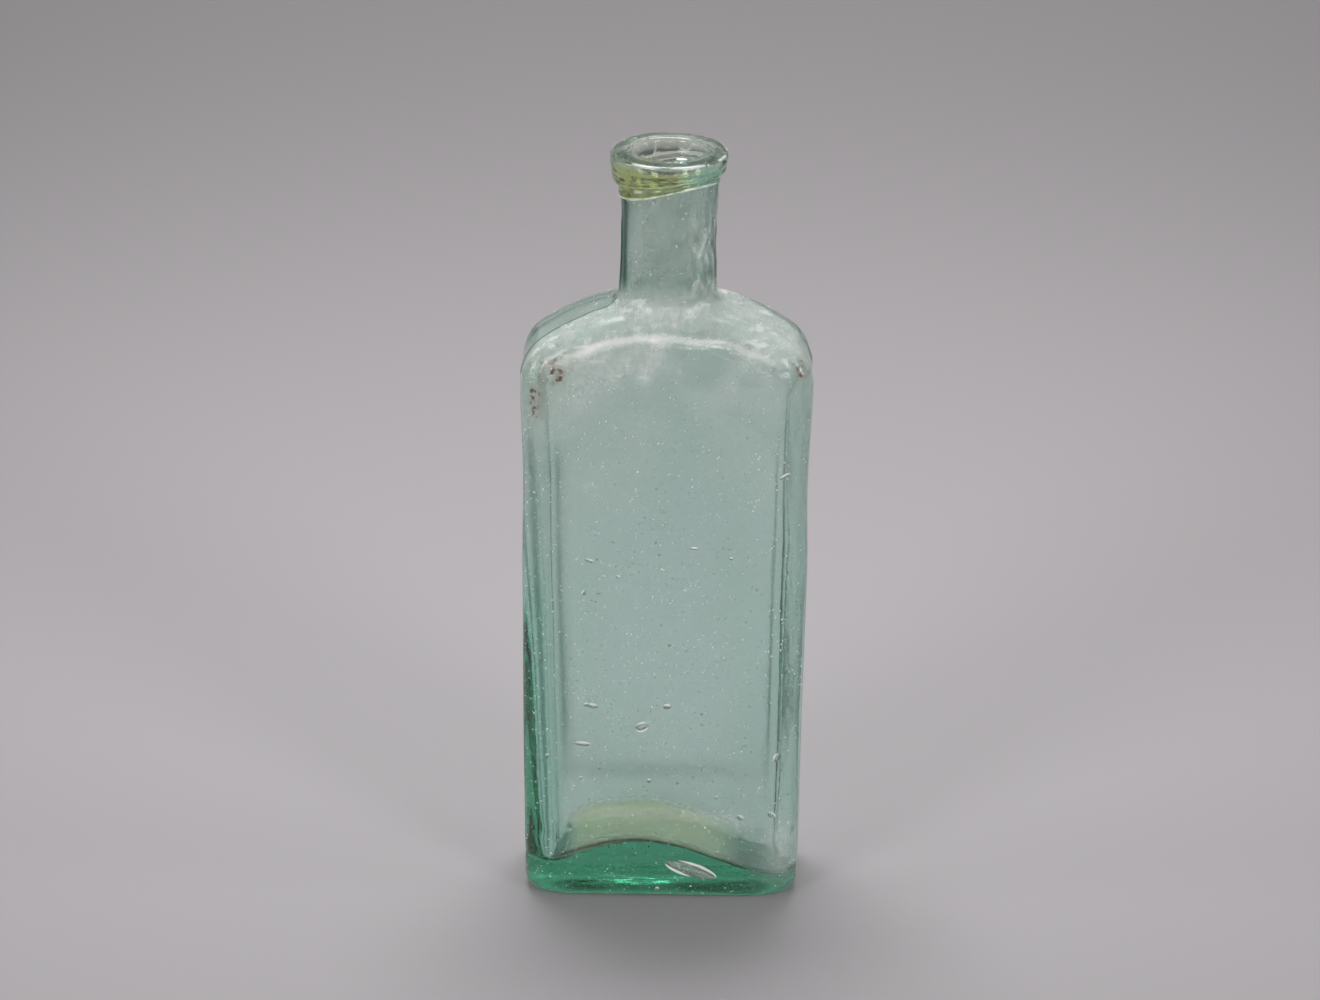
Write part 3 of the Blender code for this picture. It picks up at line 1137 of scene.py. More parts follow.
STAINS = (
    Stain((552, 370), (4.2, 3.0), 0.42),
    Stain((558, 376), (1.7, 1.0), 1.0),
    Stain((545, 366), (1.2, 0.9), 0.8),
    Stain((537, 402), (1.6, 4.5), 0.6),
    Stain((533, 392), (0.8, 1.3), 0.9),
    Stain((803, 366), (1.5, 3.4), 0.7),
    Stain((787, 331), (3.2, 1.6), 0.40),
)


@dataclass(frozen=True)
class Seeds:
    """Tiny bubbles scattered in the walls and the base, in millimetres.

    Pairs are the least and the greatest value, but the tilt is its usual value and its spread,
    in degrees. Every third seed is bright. All are white, as painted highlights of tiny bubbles.
    """

    count: int = 240
    draw: int = 77
    radius: float = 0.070
    radius_spread: float = 0.45
    largest: float = 0.15
    length_shares: tuple[float, float] = (1.0, 2.2)
    tilt: tuple[float, float] = (80, 22)
    front_share: float = 0.86
    base_share: float = 0.24
    base_x: tuple[float, float] = (-24, 24)
    base_y: tuple[float, float] = (2, 11)
    base_low: float = 1.8
    base_top: float = 2.0
    below_floor: float = 1.2
    wall_x: tuple[float, float] = (-25.5, 27)
    wall_z: tuple[float, float] = (16, 118)
    front_depth: float = 0.05
    back_depths: tuple[float, float] = (0.6, 1.7)
    # whiteness of the painted highlights
    bright: float = 1.0
    dull: float = 0.6

    def scattered(self, form: BottleForm) -> list[tuple[list[float], list[float], float]]:
        """Scatter the seeds.

        Args:
            form: Sizes of the body.

        Returns:
            Middle and half sizes in metres, and tilt in radians, of each seed.
        """
        rng = np.random.default_rng(self.draw)
        found = []
        for _ in range(self.count):
            radius = self.radius * float(np.exp(rng.normal(0.0, self.radius_spread)))
            radius = min(radius, self.largest) * MM
            longer = float(rng.uniform(*self.length_shares))
            tilt = math.radians(float(rng.normal(*self.tilt)))
            side = -1 if rng.random() < self.front_share else 1
            if rng.random() < self.base_share:
                x = float(rng.uniform(*self.base_x)) * MM
                y = side * float(rng.uniform(*self.base_y)) * MM
                roof = float(form.floor_height(np.array(x), np.array(y))) / MM
                top = max(roof - self.below_floor, self.base_top)
                z = float(rng.uniform(self.base_low, top)) * MM
            else:
                x = float(rng.uniform(*self.wall_x)) * MM
                deep = float(rng.uniform(*self.back_depths))
                deep = self.front_depth if side < 0 else deep
                y = side * (form.half_depth - deep * MM)
                z = float(rng.uniform(*self.wall_z)) * MM
            found.append(([x, y, z], [radius * longer, radius, radius], tilt))
        return found


@dataclass(frozen=True)
class GlassLines:
    """Lines on the body that its waves and marks follow, in millimetres.

    The mould's seam is given as x and y from the neck out. The haze hangs lower to both sides,
    each given as the stretch of x and the drop. The bow is the white line above the crust, with
    its middle, half length and sag, and each cord of the back panel has its place and its lean.
    """

    seam_left: tuple[tuple[float, float], ...] = (
        (-9.4, -1.7), (-12.5, -2.2), (-20.0, -3.4), (-28.5, -4.8), (-30.4, -5.1),
    )
    seam_right: tuple[tuple[float, float], ...] = (
        (7.2, 7.0), (12.0, 8.8), (21.5, 5.4), (28.0, 3.6), (30.4, 3.2),
    )
    seam_height: float = 0.26
    seam_width: float = 0.38
    seam_start: float = 2.0
    seam_low_share: float = 0.4
    seam_rise: Band = Band((60, 112))
    seam_end: Band = Band(fall=(150, 156))
    seam_sides: Band = Band((9.4, 10.6))
    seam_reach: float = 3.0
    before_seam: Band = Band(fall=(-0.4, 1.0))
    haze_lift: float = 10.0
    haze_left: tuple[Band, float] = (Band((-6, 30)), 27.0)
    haze_right: tuple[Band, float] = (Band((2, 30)), 16.0)
    bow: tuple[float, float, float] = (-6.0, 24.0, 3.0)
    cord_top: float = 94.0
    cord_run: float = 70.0
    cord_lean: tuple[float, float] = (-0.5, 1.0)
    left_cord: tuple[float, float] = (-23.8, 1.5)
    right_cord: tuple[float, float] = (24.3, -1.0)
    # breaks up the painted highlight line over the front panel
    highlight_breaks: WaveField = WaveField(3.8, 41, (1, 1, 1.6))
    # splits the neck crinkles' painted highlights from their painted shade
    flecks: WaveField = WaveField(1.9, 42, (1, 1, 1.8))

    def behind(self, x: np.ndarray, y: np.ndarray) -> np.ndarray:
        """How far points lie behind the mould's seam, which runs on across the neck."""
        route = np.array(sorted(self.seam_left + self.seam_right))
        return y - np.interp(x, route[:, 0], route[:, 1])

    def seam_ridge(self, points: np.ndarray) -> np.ndarray:
        """Height of the mould's seam, which crosses the shoulder and runs down both sides.

        Args:
            points: Points of the outer skin.

        Returns:
            Heights in metres.
        """
        x, y, z = np.moveaxis(points / MM, -1, 0)
        ridge = np.zeros(x.shape)
        for path, side in ((self.seam_left, -1), (self.seam_right, 1)):
            route = np.array(sorted(path))
            off = y - np.interp(x, route[:, 0], route[:, 1])
            start = abs(path[0][0])
            beyond = smooth(side * x, start - self.seam_start, start)
            ridge += Bell(0, self.seam_width).of(off) * beyond
        share = self.seam_low_share + (1 - self.seam_low_share) * self.seam_rise.of(z)
        return self.seam_height * MM * ridge * share * self.seam_end.of(z)

    def seam_side(self, places: Places) -> np.ndarray:
        """0.5 on the mould's seam, more behind it and less in front, until the mark ends.

        Args:
            places: Places of the points.

        Returns:
            The mark of each point.
        """
        x = places[Along.X]
        off = self.behind(x, places[Along.Y])
        ends = self.seam_sides.of(-x) + self.seam_sides.of(x)
        away = np.where(off < 0, -1.0, 1.0) * self.seam_reach * (1 - ends)
        return np.clip(0.5 + (off + away) / (2 * self.seam_reach), 0.0, 1.0)

    def places(self, points: np.ndarray, form: BottleForm, crossing: Band) -> Places:
        """Measure where the points of a skin lie.

        Args:
            points: Points in metres.
            form: Sizes of the body.
            crossing: Heights between which the seam comes to bound the haze.

        Returns:
            Their places in millimetres, along every way but the lip's own.
        """
        x, y, z = np.moveaxis(points / MM, -1, 0)
        in_front = self.before_seam.of(self.behind(x, y))
        hung = z - self.haze_lift
        for (band, drop), aside in ((self.haze_left, -x), (self.haze_right, x)):
            hung = hung + drop * band.of(aside)
        bow_middle, bow_half, sag = self.bow
        start = form.half_depth - form.edge_radius
        lean = np.clip((self.cord_top - z) / self.cord_run, *self.cord_lean)
        outline = form.half_width - form.wall_draw(points[..., 2])
        floor = form.floor_height(points[..., 0], points[..., 1])
        return {
            Along.X: x,
            Along.Y: y,
            Along.Z: z,
            Along.ASIDE: np.abs(x),
            Along.HUNG: hung,
            Along.BOW: z + sag * ((x - bow_middle) / bow_half) ** 2,
            Along.ABOVE: z - floor / MM,
            Along.LIMB: outline / MM - np.abs(x),
            Along.LEFT_CORD: x - self.left_cord[0] - self.left_cord[1] * lean,
            Along.RIGHT_CORD: x - self.right_cord[0] - self.right_cord[1] * lean,
            Along.FRONT_ROUND: (-points[..., 1] - start) / form.edge_radius,
            Along.BACK_ROUND: (points[..., 1] - start) / form.edge_radius,
            Along.CLEAR: 1 - (1 - in_front) * crossing.of(z),
            Along.BREAKS_IN_HIGHLIGHT: self.highlight_breaks.at(points),
            Along.FLECKS: self.flecks.at(points),
        }


@dataclass(frozen=True)
class BlownBody:
    """Body of the bottle: base, walls, vaulted shoulder and neck in one skin of glass."""

    form: BottleForm
    camera: PhotoCamera
    pattern: RingPattern = RingPattern()
    lines: GlassLines = GlassLines()
    seeds: Seeds = Seeds()

    join_gap: float = 0.02 * MM
    heel_steps: int = 7
    foot_step: float = 0.6 * MM
    wall_step: float = 1.62 * MM
    fine_foot: float = 14.0 * MM
    shoulder_steps: int = 42
    neck_steps: int = 32
    floor_corner_steps: int = 9
    slope_steps: int = 5
    roof_shares: tuple[float, ...] = (0.2, 0.5, 0.8)
    floor_shares: tuple[float, ...] = (0.92, 0.82, 0.70, 0.58, 0.45, 0.32, 0.2, 0.1)

    push_up_corner_share: float = 0.85
    corner_front: float = 1.8 * MM
    corner_back: float = 2.4 * MM
    corner_right: float = 3.0 * MM
    corner_left: float = 1.7 * MM
    corner_turn: tuple[float, float] = (24.0 * MM, 28.0 * MM)

    seam_outside: Band = Band((112, 117))
    seam_inside: Band = Band((114, 119))
    inside_end: Band = Band(fall=(152, 157))
    stain_depth: float = 1.0 * MM
    # white rims and white arcs of the bubbles are painted highlights
    bubble_rim: Band = Band((0.30, 0.85))
    arc_width: float = 0.36 * MM
    arc_width_share: float = 0.028
    sharp_angle: float = math.radians(50)

    def floor_corner(self, ring: np.ndarray) -> np.ndarray:
        """Radius in which the cavity's floor turns up into each part of its wall.

        Args:
            ring: Points of the wall.

        Returns:
            Radii.
        """
        x, y = ring[..., 0], ring[..., 1]
        start, end = self.corner_turn
        sideways = np.clip((np.abs(x) - start) / (end - start), 0, 1)
        sides = np.where(x > 0, self.corner_right, self.corner_left)
        panels = np.where(y < 0, self.corner_front, self.corner_back)
        return panels + (sides - panels) * sideways

    def shoulder(
        self, neck_radius: float, fillet: float, wall: float, edge: float, crown: float
    ) -> np.ndarray:
        """Rings from the foot of the neck, over the vault, to the top of the walls.

        Args:
            neck_radius: Radius of the neck's foot.
            fillet: Radius of the hollow between neck and vault.
            wall: How far this skin lies inside the outer one.
            edge: Radius of its upright edges and of the vault's edge at the haunches.
            crown: How far down the vault's edge reaches over the middle of the panels.

        Returns:
            Array of rings.
        """
        form = self.form
        outer = self.pattern.section(form.half_width - wall, form.half_depth - wall, edge)
        inner = self.pattern.circle(neck_radius)
        share = eased(self.shoulder_steps)[:, None, None]
        rings = inner + (outer - inner) * share
        away = np.hypot(rings[..., 0], rings[..., 1]) - neck_radius
        short = np.clip(fillet - away, 0, fillet)
        rise = fillet - np.sqrt(fillet**2 - short**2)
        top = form.arch_height(rings[..., 0], form.edge_inset(rings, wall, edge, crown))
        return lifted(rings, top + rise)

    def upright(self, top: np.ndarray, foot: np.ndarray) -> np.ndarray:
        """Rings up a wall, close together near its foot.

        Args:
            top: Ring at the top of the wall.
            foot: Height of the foot under each point.

        Returns:
            Array of rings, from the foot up.
        """
        height = float(top[:, 2].min() - foot.max())
        low = np.arange(0, self.fine_foot, self.foot_step)
        count = max(int((height - self.fine_foot) / self.wall_step), 2)
        high = np.linspace(self.fine_foot, height, count)
        share = np.concatenate([low, high]) / height
        rings = np.repeat(top[None], len(share), axis=0)
        rings[..., 2] = foot + (top[:, 2] - foot) * share[:, None]
        return rings

    def underside_rings(self) -> list[np.ndarray]:
        """Push-up under the base, from its middle out to the band that rests on the table.

        Returns:
            Its rings.
        """
        form, pattern = self.form, self.pattern
        band_x = form.half_width - form.base_draw - form.heel_radius - form.band_width
        band_y = form.half_depth - form.heel_radius - form.band_width
        roof_x, roof_y = band_x - form.push_up_slope, band_y - form.push_up_slope
        roof = pattern.section(roof_x, roof_y, roof_y * self.push_up_corner_share)
        band = pattern.section(band_x, band_y, band_y * self.push_up_corner_share)
        rings = [lifted(roof * share, form.push_up_height) for share in self.roof_shares]
        for share in eased(self.slope_steps):
            height = form.push_up_height * (1 - share)
            rings.append(lifted(roof + (band - roof) * share, height))
        return rings

    def outer_rings(self) -> np.ndarray:
        """Outside, from the middle of the underside up to the end of the neck.

        Returns:
            Its rings.
        """
        form, pattern = self.form, self.pattern
        rings = self.underside_rings()
        wall = pattern.section(form.half_width, form.half_depth, form.edge_radius)
        heel = form.heel_round(wall)
        inward = self.inward(wall)
        for step in range(self.heel_steps):
            angle = math.pi / 2 * step / self.heel_steps
            inset = heel * (1 - math.sin(angle))
            ring = wall + inward * inset[:, None]
            rings.append(form.drawn_in(lifted(ring, heel * (1 - math.cos(angle)))))
        shoulder = self.shoulder(
            form.neck_foot_radius, form.neck_fillet, 0.0, form.edge_radius, form.crown_edge_height
        )
        rings.extend(form.drawn_in(self.upright(shoulder[-1], heel)))
        rings.extend(shoulder[-2::-1])
        end = self.neck_end(shoulder[0][:, :2]) - self.join_gap
        for step in range(1, self.neck_steps + 1):
            share = step / self.neck_steps
            ring = pattern.circle(float(form.neck_radius(np.array(share))))
            rings.append(lifted(ring, shoulder[0][:, 2] * (1 - share) + end * share))
        return np.array(rings)

    def neck_end(self, ring: np.ndarray) -> np.ndarray:
        """Height of the join between the neck and the lip's glass, over each point."""
        return self.form.rim_height - self.form.skirt_depth(ring[:, 0], ring[:, 1])

    def inner_rings(self) -> np.ndarray:
        """Inside, from the end of the neck down to the middle of the cavity's floor.

        Returns:
            Its rings.
        """
        form, pattern = self.form, self.pattern
        wall = form.panel_wall
        edge = form.cavity_edge_radius
        shoulder = self.shoulder(form.bore_foot_radius, form.bore_fillet, wall, edge, edge)
        bore = pattern.circle(form.bore_top_radius)
        end = self.neck_end(bore) - self.join_gap
        rings = []
        for step in range(self.neck_steps):
            share = step / self.neck_steps
            radius = form.bore_top_radius
            radius += (form.bore_foot_radius - form.bore_top_radius) * share
            ring = pattern.circle(radius)
            rings.append(lifted(ring, end * (1 - share) + shoulder[0][:, 2] * share))
        rings.extend(form.cavity_shifted(shoulder[:-1]))
        top = shoulder[-1]
        corner = self.floor_corner(top)
        foot = form.floor_height(top[:, 0], top[:, 1]) + corner
        rings.extend(form.cavity_shifted(self.upright(top, foot))[::-1])
        inward = self.inward(top[:, :2])
        for step in range(1, self.floor_corner_steps + 1):
            angle = math.pi / 2 * step / self.floor_corner_steps
            inset = corner * (1 - math.cos(angle))
            floor = top[:, :2] + inward * inset[:, None]
            rise = corner * (1 - math.sin(angle))
            level = form.floor_height(floor[:, 0], floor[:, 1]) + rise
            rings.append(form.cavity_shifted(lifted(floor, level)))
        for share in self.floor_shares:
            level = form.floor_height(floor[:, 0] * share, floor[:, 1] * share)
            rings.append(form.cavity_shifted(lifted(floor * share, level)))
        return np.array(rings)

    def inward(self, ring: np.ndarray) -> np.ndarray:
        """Unit directions into a ring, along which a heel or a floor corner turns.

        Args:
            ring: Points of the ring.

        Returns:
            One direction for each point.
        """
        along = np.roll(ring, -1, axis=0) - np.roll(ring, 1, axis=0)
        way = np.stack([-along[:, 1], along[:, 0]], axis=-1)
        return way / np.linalg.norm(way, axis=-1, keepdims=True)

    def rippled_outside(self, rings: np.ndarray) -> np.ndarray:
        """Waves of the mould and the fire, and the mould's seam, on the outer skin.

        Args:
            rings: Plain outer rings.

        Returns:
            The same rings with their waves.
        """
        places = self.lines.places(rings, self.form, self.seam_outside)
        underside = np.arange(len(rings)) <= len(self.roof_shares) + self.slope_steps
        height = rippled(OUTSIDE_RIPPLES, rings, places) + self.lines.seam_ridge(rings)
        height += rippled(UNDERSIDE_RIPPLES, rings, places) * underside[:, None]
        return rings + grid_normals(rings) * height[..., None]

    def rippled_inside(self, rings: np.ndarray) -> np.ndarray:
        """Waves of the blown cavity, whose glass no mould touched.

        Args:
            rings: Plain inner rings.

        Returns:
            The same rings with their waves.
        """
        places = self.lines.places(rings, self.form, self.seam_inside)
        height = rippled(INSIDE_RIPPLES, rings, places) * self.inside_end.of(places[Along.Z])
        return rings + grid_normals(rings) * height[..., None]

    def stained(self, places: Places) -> np.ndarray:
        """Strength of the rust stains at each point, through the thickness of the wall.

        Args:
            places: Places of the points.

        Returns:
            The mark of each point.
        """
        rust = np.zeros(places[Along.Z].shape)
        for stain in STAINS:
            front = -self.form.half_depth
            middle = self.camera.behind_front(stain.pixel, front, self.stain_depth) / MM
            where = spot(middle, (stain.size[0], stain.THROUGH, stain.size[1]))
            rust = np.maximum(rust, Patch(stain.strength, where).of(places))
        return rust

    def outer_marks(self, points: np.ndarray) -> dict[Mark, np.ndarray]:
        """Dull haze, scuffs and stains on the outside of the glass, with painted highlights and
        painted shade: white lines, dark outlines and the seam's dark line.

        Args:
            points: Points of the outer skin.

        Returns:
            The marks of these points.
        """
        places = self.lines.places(points, self.form, self.seam_outside)
        marks = {mark: summed(patches, places) for mark, patches in OUTSIDE_MARKS.items()}
        marks[Mark.SCUFF] = summed(SCUFFS, places, MOST_SCUFF)
        marks[Mark.RUST] = self.stained(places)
        marks[Mark.SEAM] = self.lines.seam_side(places)
        return marks

    def deposits(self, points: np.ndarray) -> dict[Mark, np.ndarray]:
        """Haze, crust and stains on the inside of the glass, the panels' cords, and painted shade
        along the front corner of the floor.

        Args:
            points: Points of the inner skin.

        Returns:
            The marks of these points.
        """
        places = self.lines.places(points, self.form, self.seam_inside)
        marks = {mark: summed(patches, places) for mark, patches in INSIDE_MARKS.items()}
        marks[Mark.RUST] = self.stained(places)
        marks[Mark.INSIDE] = np.ones(len(points))
        return marks

    def add_bubbles(self, glass: GlassMesh) -> None:
        """Add the bubbles that the photograph shows, and many small seeds.

        Args:
            glass: Mesh that they are added to.
        """
        front = -self.form.half_depth
        low = np.array(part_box("bottle_body")[0])
        ball, sliver, seed_ball = BubbleShape(), BubbleShape(10, 8), BubbleShape(3, 6)
        for bubble in BUBBLES:
            middle = self.camera.behind_front(bubble.pixel, front, bubble.depth * MM)
            half = np.array((bubble.length, bubble.thickness, bubble.height)) / 2 * MM
            tilt = math.radians(bubble.tilt)
            points, faces = ball.placed(middle, half, tilt, bubble.pointed)
            # white rim of the bubble's skin: painted highlight
            across = np.abs(points[:, 1] - middle.y) / half[1]
            rim = 1 - bubble.clear * self.bubble_rim.of(across)
            glass.add(points, faces, {Mark.HAZE_AND_HIGHLIGHT: rim})
            surface = np.array(self.camera.behind_front(bubble.pixel, front, 0.0))
            # painted highlights: white arcs on the bubble's rim, at the skin
            for turn, span in bubble.arcs:
                width = self.arc_width + self.arc_width_share * bubble.length * MM
                points, faces = sliver.arc(bubble, turn, span, width)
                points = np.maximum(points + surface, low)
                glass.add(points, faces, {Mark.HAZE_AND_HIGHLIGHT: np.ones(len(points))})
        # seeds are white, as painted highlights of tiny bubbles
        for number, (centre, half, tilt) in enumerate(self.seeds.scattered(self.form)):
            points, faces = seed_ball.placed(centre, half, tilt, 0.0)
            points = np.maximum(points, low)
            haze = self.seeds.dull if number % 3 else self.seeds.bright
            glass.add(points, faces, {Mark.HAZE_AND_HIGHLIGHT: np.full(len(points), haze)})

    def build(self) -> bpy.types.Object:
        """Make the body's mesh.

        Returns:
            The piece.
        """
        outside = self.rippled_outside(self.outer_rings())
        inside = self.rippled_inside(self.inner_rings())
        rings = np.concatenate([outside, inside])
        around = self.pattern.around
        hubs = np.array([rings[0].mean(axis=0), rings[-1].mean(axis=0)])
        low, high = (np.array(corner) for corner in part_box("bottle_body"))
        points = np.clip(np.concatenate([rings.reshape(-1, 3), hubs]), low, high)
        step = np.arange(around)
        after = (step + 1) % around
        first, last = len(points) - 2, (len(rings) - 1) * around
        faces = [
            lattice_faces(len(rings), around, closed=False),
            np.stack([after, step, first + 0 * step], axis=-1),
            np.stack([last + step, last + after, first + 1 + 0 * step], axis=-1),
        ]
        split = outside.shape[0] * around
        outer = np.r_[0:split, len(points) - 2]
        inner = np.r_[split : len(rings) * around, len(points) - 1]
        worn, soiled = self.outer_marks(points[outer]), self.deposits(points[inner])
        marks = {mark: np.zeros(len(points)) for mark in {**worn, **soiled}}
        for chosen, found in ((outer, worn), (inner, soiled)):
            for mark, values in found.items():
                marks[mark][chosen] = values
        glass = GlassMesh()
        glass.add(points, facing(points, faces, outward=True), marks)
        self.add_bubbles(glass)
        return glass.piece("bottle_body_glass", self.sharp_angle)


LIP_HELD = Band((0.2, 0.7))
LIP_OUTER = Band((9.4, 10.2))

LIP_RIPPLES = (
    Ripple(WaveField(7, 31), Patch(0.09, {Along.EDGE: LIP_HELD})),
    Ripple(
        WaveField(2.6, 32, (1, 1, 0.6)),
        Patch(0.10, {Along.EDGE: LIP_HELD, Along.REACH: LIP_OUTER}),
        cut_in=True,
    ),
    Ripple(
        WaveField(1.7, 33, (2.2, 2.2, 0.7)),
        Patch(0.14, {Along.EDGE: LIP_HELD, Along.REACH: LIP_OUTER, Along.X: Band((3, 8))}),
        cut_in=True,
    ),
)

LIP_SIDE = {Along.REACH: Band((8.6, 9.8)), Along.DROP: Band((0.5, 2.2))}
# painted highlight: white line along the lip's lower edge
LOWER_EDGE = {Along.REACH: Band((8.6, 9.8)), Along.EDGE: Band(fall=(0.25, 0.75))}
# painted highlight: white line along the rim's outer round
RIM_HIGHLIGHT = {
    Along.REACH: Band((11.2, 11.5)),
    Along.DROP: Bell(0.36, 0.28),
    Along.RIM_GLINTS: Band((-0.35, 0.20)),
}

LIP_MARKS = {
    Mark.OUTSIDE: (Patch(1.0, LIP_SIDE), Patch(-0.75, {**LIP_SIDE, Along.Y: Band((-5, 3))})),
    # painted shade: the flat top of the rim darkened
    Mark.CORD_AND_SHADE: (
        Patch(0.85, {Along.REACH: Band((8.8, 9.8), (11, 11.5)), Along.DROP: Band(fall=(0.3, 0.6))}),
    ),
    # painted highlights on the lower edge and the rim, the rim's with a gap in the middle
    Mark.HAZE_AND_HIGHLIGHT: (
        Patch(0.30, LOWER_EDGE),
        Patch(0.50, {**LOWER_EDGE, Along.TOE_GLINTS: Band((-0.55, 0.25))}),
        Patch(0.72, RIM_HIGHLIGHT),
        Patch(-0.576, {**RIM_HIGHLIGHT, Along.X: Bell(-0.8, 1.8)}),
    ),
}


@dataclass(frozen=True)
class Groove:
    """Groove that the tool left round the lip, slanting as the glass was wound.

    Attributes:
        start: How far below the rim it lies, as a share of the lip's depth.
        rise: How far it slants, as such a share.
        width: Its width in millimetres.
        cut: Its depth in millimetres.
    """

    start: float
    rise: float
    width: float
    cut: float

    TURN_SHARE = 0.5
    TURN_START = 0.4

    def of(self, places: Places) -> np.ndarray:
        """Depth of the groove in millimetres at each point, from the point's places.

        Args:
            places: Places of the points.

        Returns:
            Depths.
        """
        turn = np.arctan2(places[Along.Y], places[Along.X])
        slant = self.rise * np.sin(turn * self.TURN_SHARE + self.TURN_START)
        line = (places[Along.EDGE] + places[Along.DROP]) * (self.start + slant)
        return self.cut * Bell(0, self.width).of(places[Along.DROP] - line)


GROOVES = (
    Groove(0.80, 0.10, 0.30, 0.16),
    Groove(0.66, -0.16, 0.26, 0.10),
    Groove(0.40, 0.10, 0.34, 0.10),
    Groove(0.90, -0.06, 0.22, 0.10),
)


def along(steps: int) -> np.ndarray:
    """Column of even shares from 0 to 1, along a stretch of an outline."""
    return np.linspace(0, 1, steps)[:, None]


@dataclass(frozen=True)
class AppliedLip:
    """Lip of a second gather, wound on round the end of the neck and tooled."""

    form: BottleForm
    around: int = 288
    radius: float = 12.0 * MM
    taper: float = 0.3 * MM
    mouth_radius: float = 7.15 * MM
    mouth_round: float = 1.0 * MM
    mouth_narrows: tuple[float, float] = (5.5 * MM, 1.5 * MM)
    rim_round: float = 0.9 * MM
    rim_dip: float = 0.10 * MM
    skirt_radius: float = 10.4 * MM
    toe_round: float = 0.22 * MM
    join_gap: float = 0.02 * MM
    side_share: float = 0.57
    underside_share: float = 0.72
    underside_power: float = 0.85
    sharp_angle: float = math.radians(50)
    # fields that break up the painted highlights on the lower edge and the rim
    toe_glint_field: WaveField = WaveField(3.5, 35)
    rim_glint_field: WaveField = WaveField(6, 34)

    def profile(self, depth: np.ndarray) -> tuple[np.ndarray, np.ndarray]:
        """Closed outline of the lip's section on every spoke.

        Args:
            depth: How far the skirt reaches below the rim on each spoke.

        Returns:
            Radii and drops below the rim, each as outline points by spokes.
        """
        turn, under = math.pi / 2 * along(9), math.pi / 2 * along(14)
        top, side, skirt = along(12)[1:-1], along(20)[1:-1], along(12)[1:]
        toe, foot, bore = turn[::2][1:], along(6)[1:], along(18)[1:-1]
        rim_in = self.mouth_radius + self.mouth_round
        rim_out = self.radius - self.rim_round
        rim_fall = self.rim_round - self.rim_dip
        bulge = self.radius - self.taper - self.skirt_radius
        side_end, under_end = depth * self.side_share, depth * self.underside_share
        side_fall = side_end - self.rim_round
        under_fall = (under_end - side_end) * np.sin(under) ** self.underside_power
        toe_in = self.skirt_radius - self.toe_round
        bore_foot = self.form.bore_top_radius
        bore_drop = depth + (self.mouth_round - depth) * bore
        narrow = smooth(bore_drop, *self.mouth_narrows)
        outline = (
            # round of the mouth, flat of the rim and its outer round
            (rim_in - self.mouth_round * np.cos(turn), self.mouth_round * (1 - np.sin(turn))),
            (rim_in + (rim_out - rim_in) * top, self.rim_dip * (2 * top - 1) ** 2),
            (rim_out + self.rim_round * np.sin(turn), self.rim_dip + rim_fall * (1 - np.cos(turn))),
            # side, its underside and the skirt below it
            (self.radius - self.taper * side**2, self.rim_round + side_fall * side),
            (self.skirt_radius + bulge * np.cos(under), side_end + under_fall),
            (self.skirt_radius, under_end + (depth - self.toe_round - under_end) * skirt),
            # toe, join with the neck, and the bore back up to the mouth
            (toe_in + self.toe_round * np.cos(toe), depth - self.toe_round * (1 - np.sin(toe))),
            (toe_in + (bore_foot - toe_in) * foot, depth),
            (bore_foot + (self.mouth_radius - bore_foot) * narrow, bore_drop),
        )
        stretches = [np.broadcast_arrays(*stretch, depth[None])[:2] for stretch in outline]
        radii, drops = (np.concatenate(column) for column in zip(*stretches))
        return radii, drops

    def places(self, points: np.ndarray) -> Places:
        """Measure where points of the lip lie.

        Args:
            points: Points in metres.

        Returns:
            Their places in millimetres, along the ways that the lip needs.
        """
        x, y, z = np.moveaxis(points / MM, -1, 0)
        drop = self.form.rim_height / MM - z
        return {
            Along.X: x,
            Along.Y: y,
            Along.Z: z,
            Along.REACH: np.hypot(x, y),
            Along.DROP: drop,
            Along.EDGE: self.form.skirt_depth(x, y) / MM - drop,
            Along.TOE_GLINTS: self.toe_glint_field.at(points),
            Along.RIM_GLINTS: self.rim_glint_field.at(points),
        }

    def tooled(self, rings: np.ndarray) -> np.ndarray:
        """Waves of the tool and the winding, cut into the lip.

        Args:
            rings: Plain rings of the lip.

        Returns:
            The same rings with their waves.
        """
        places = self.places(rings)
        cut = sum(groove.of(places) for groove in GROOVES) * MM
        cut = cut * LIP_HELD.of(places[Along.EDGE]) * LIP_OUTER.of(places[Along.REACH])
        height = rippled(LIP_RIPPLES, rings, places) - cut
        wrapped = np.concatenate([rings[-1:], rings, rings[:1]])
        outward = -grid_normals(wrapped)[1:-1]
        return rings + outward * height[..., None]

    def build(self) -> bpy.types.Object:
        """Make the lip's mesh.

        Returns:
            The piece.
        """
        turn = math.tau * np.arange(self.around) / self.around
        depth = self.form.skirt_depth(np.cos(turn), np.sin(turn)) - self.join_gap
        radii, drops = self.profile(depth)
        heights = self.form.rim_height - drops
        rings = np.stack([radii * np.cos(turn), radii * np.sin(turn), heights], axis=-1)
        points = self.tooled(rings).reshape(-1, 3)
        points[:, 2] = np.minimum(points[:, 2], self.form.rim_height)
        faces = [lattice_faces(len(rings), self.around, closed=True)]
        places = self.places(points)
        marks = {mark: summed(patches, places) for mark, patches in LIP_MARKS.items()}
        marks[Mark.WRAP] = np.clip(points[:, 0] / (2 * self.radius) + 0.5, 0, 1)
        glass = GlassMesh()
        glass.add(points, facing(points, faces, outward=True), marks)
        return glass.piece("applied_lip_glass", self.sharp_angle)


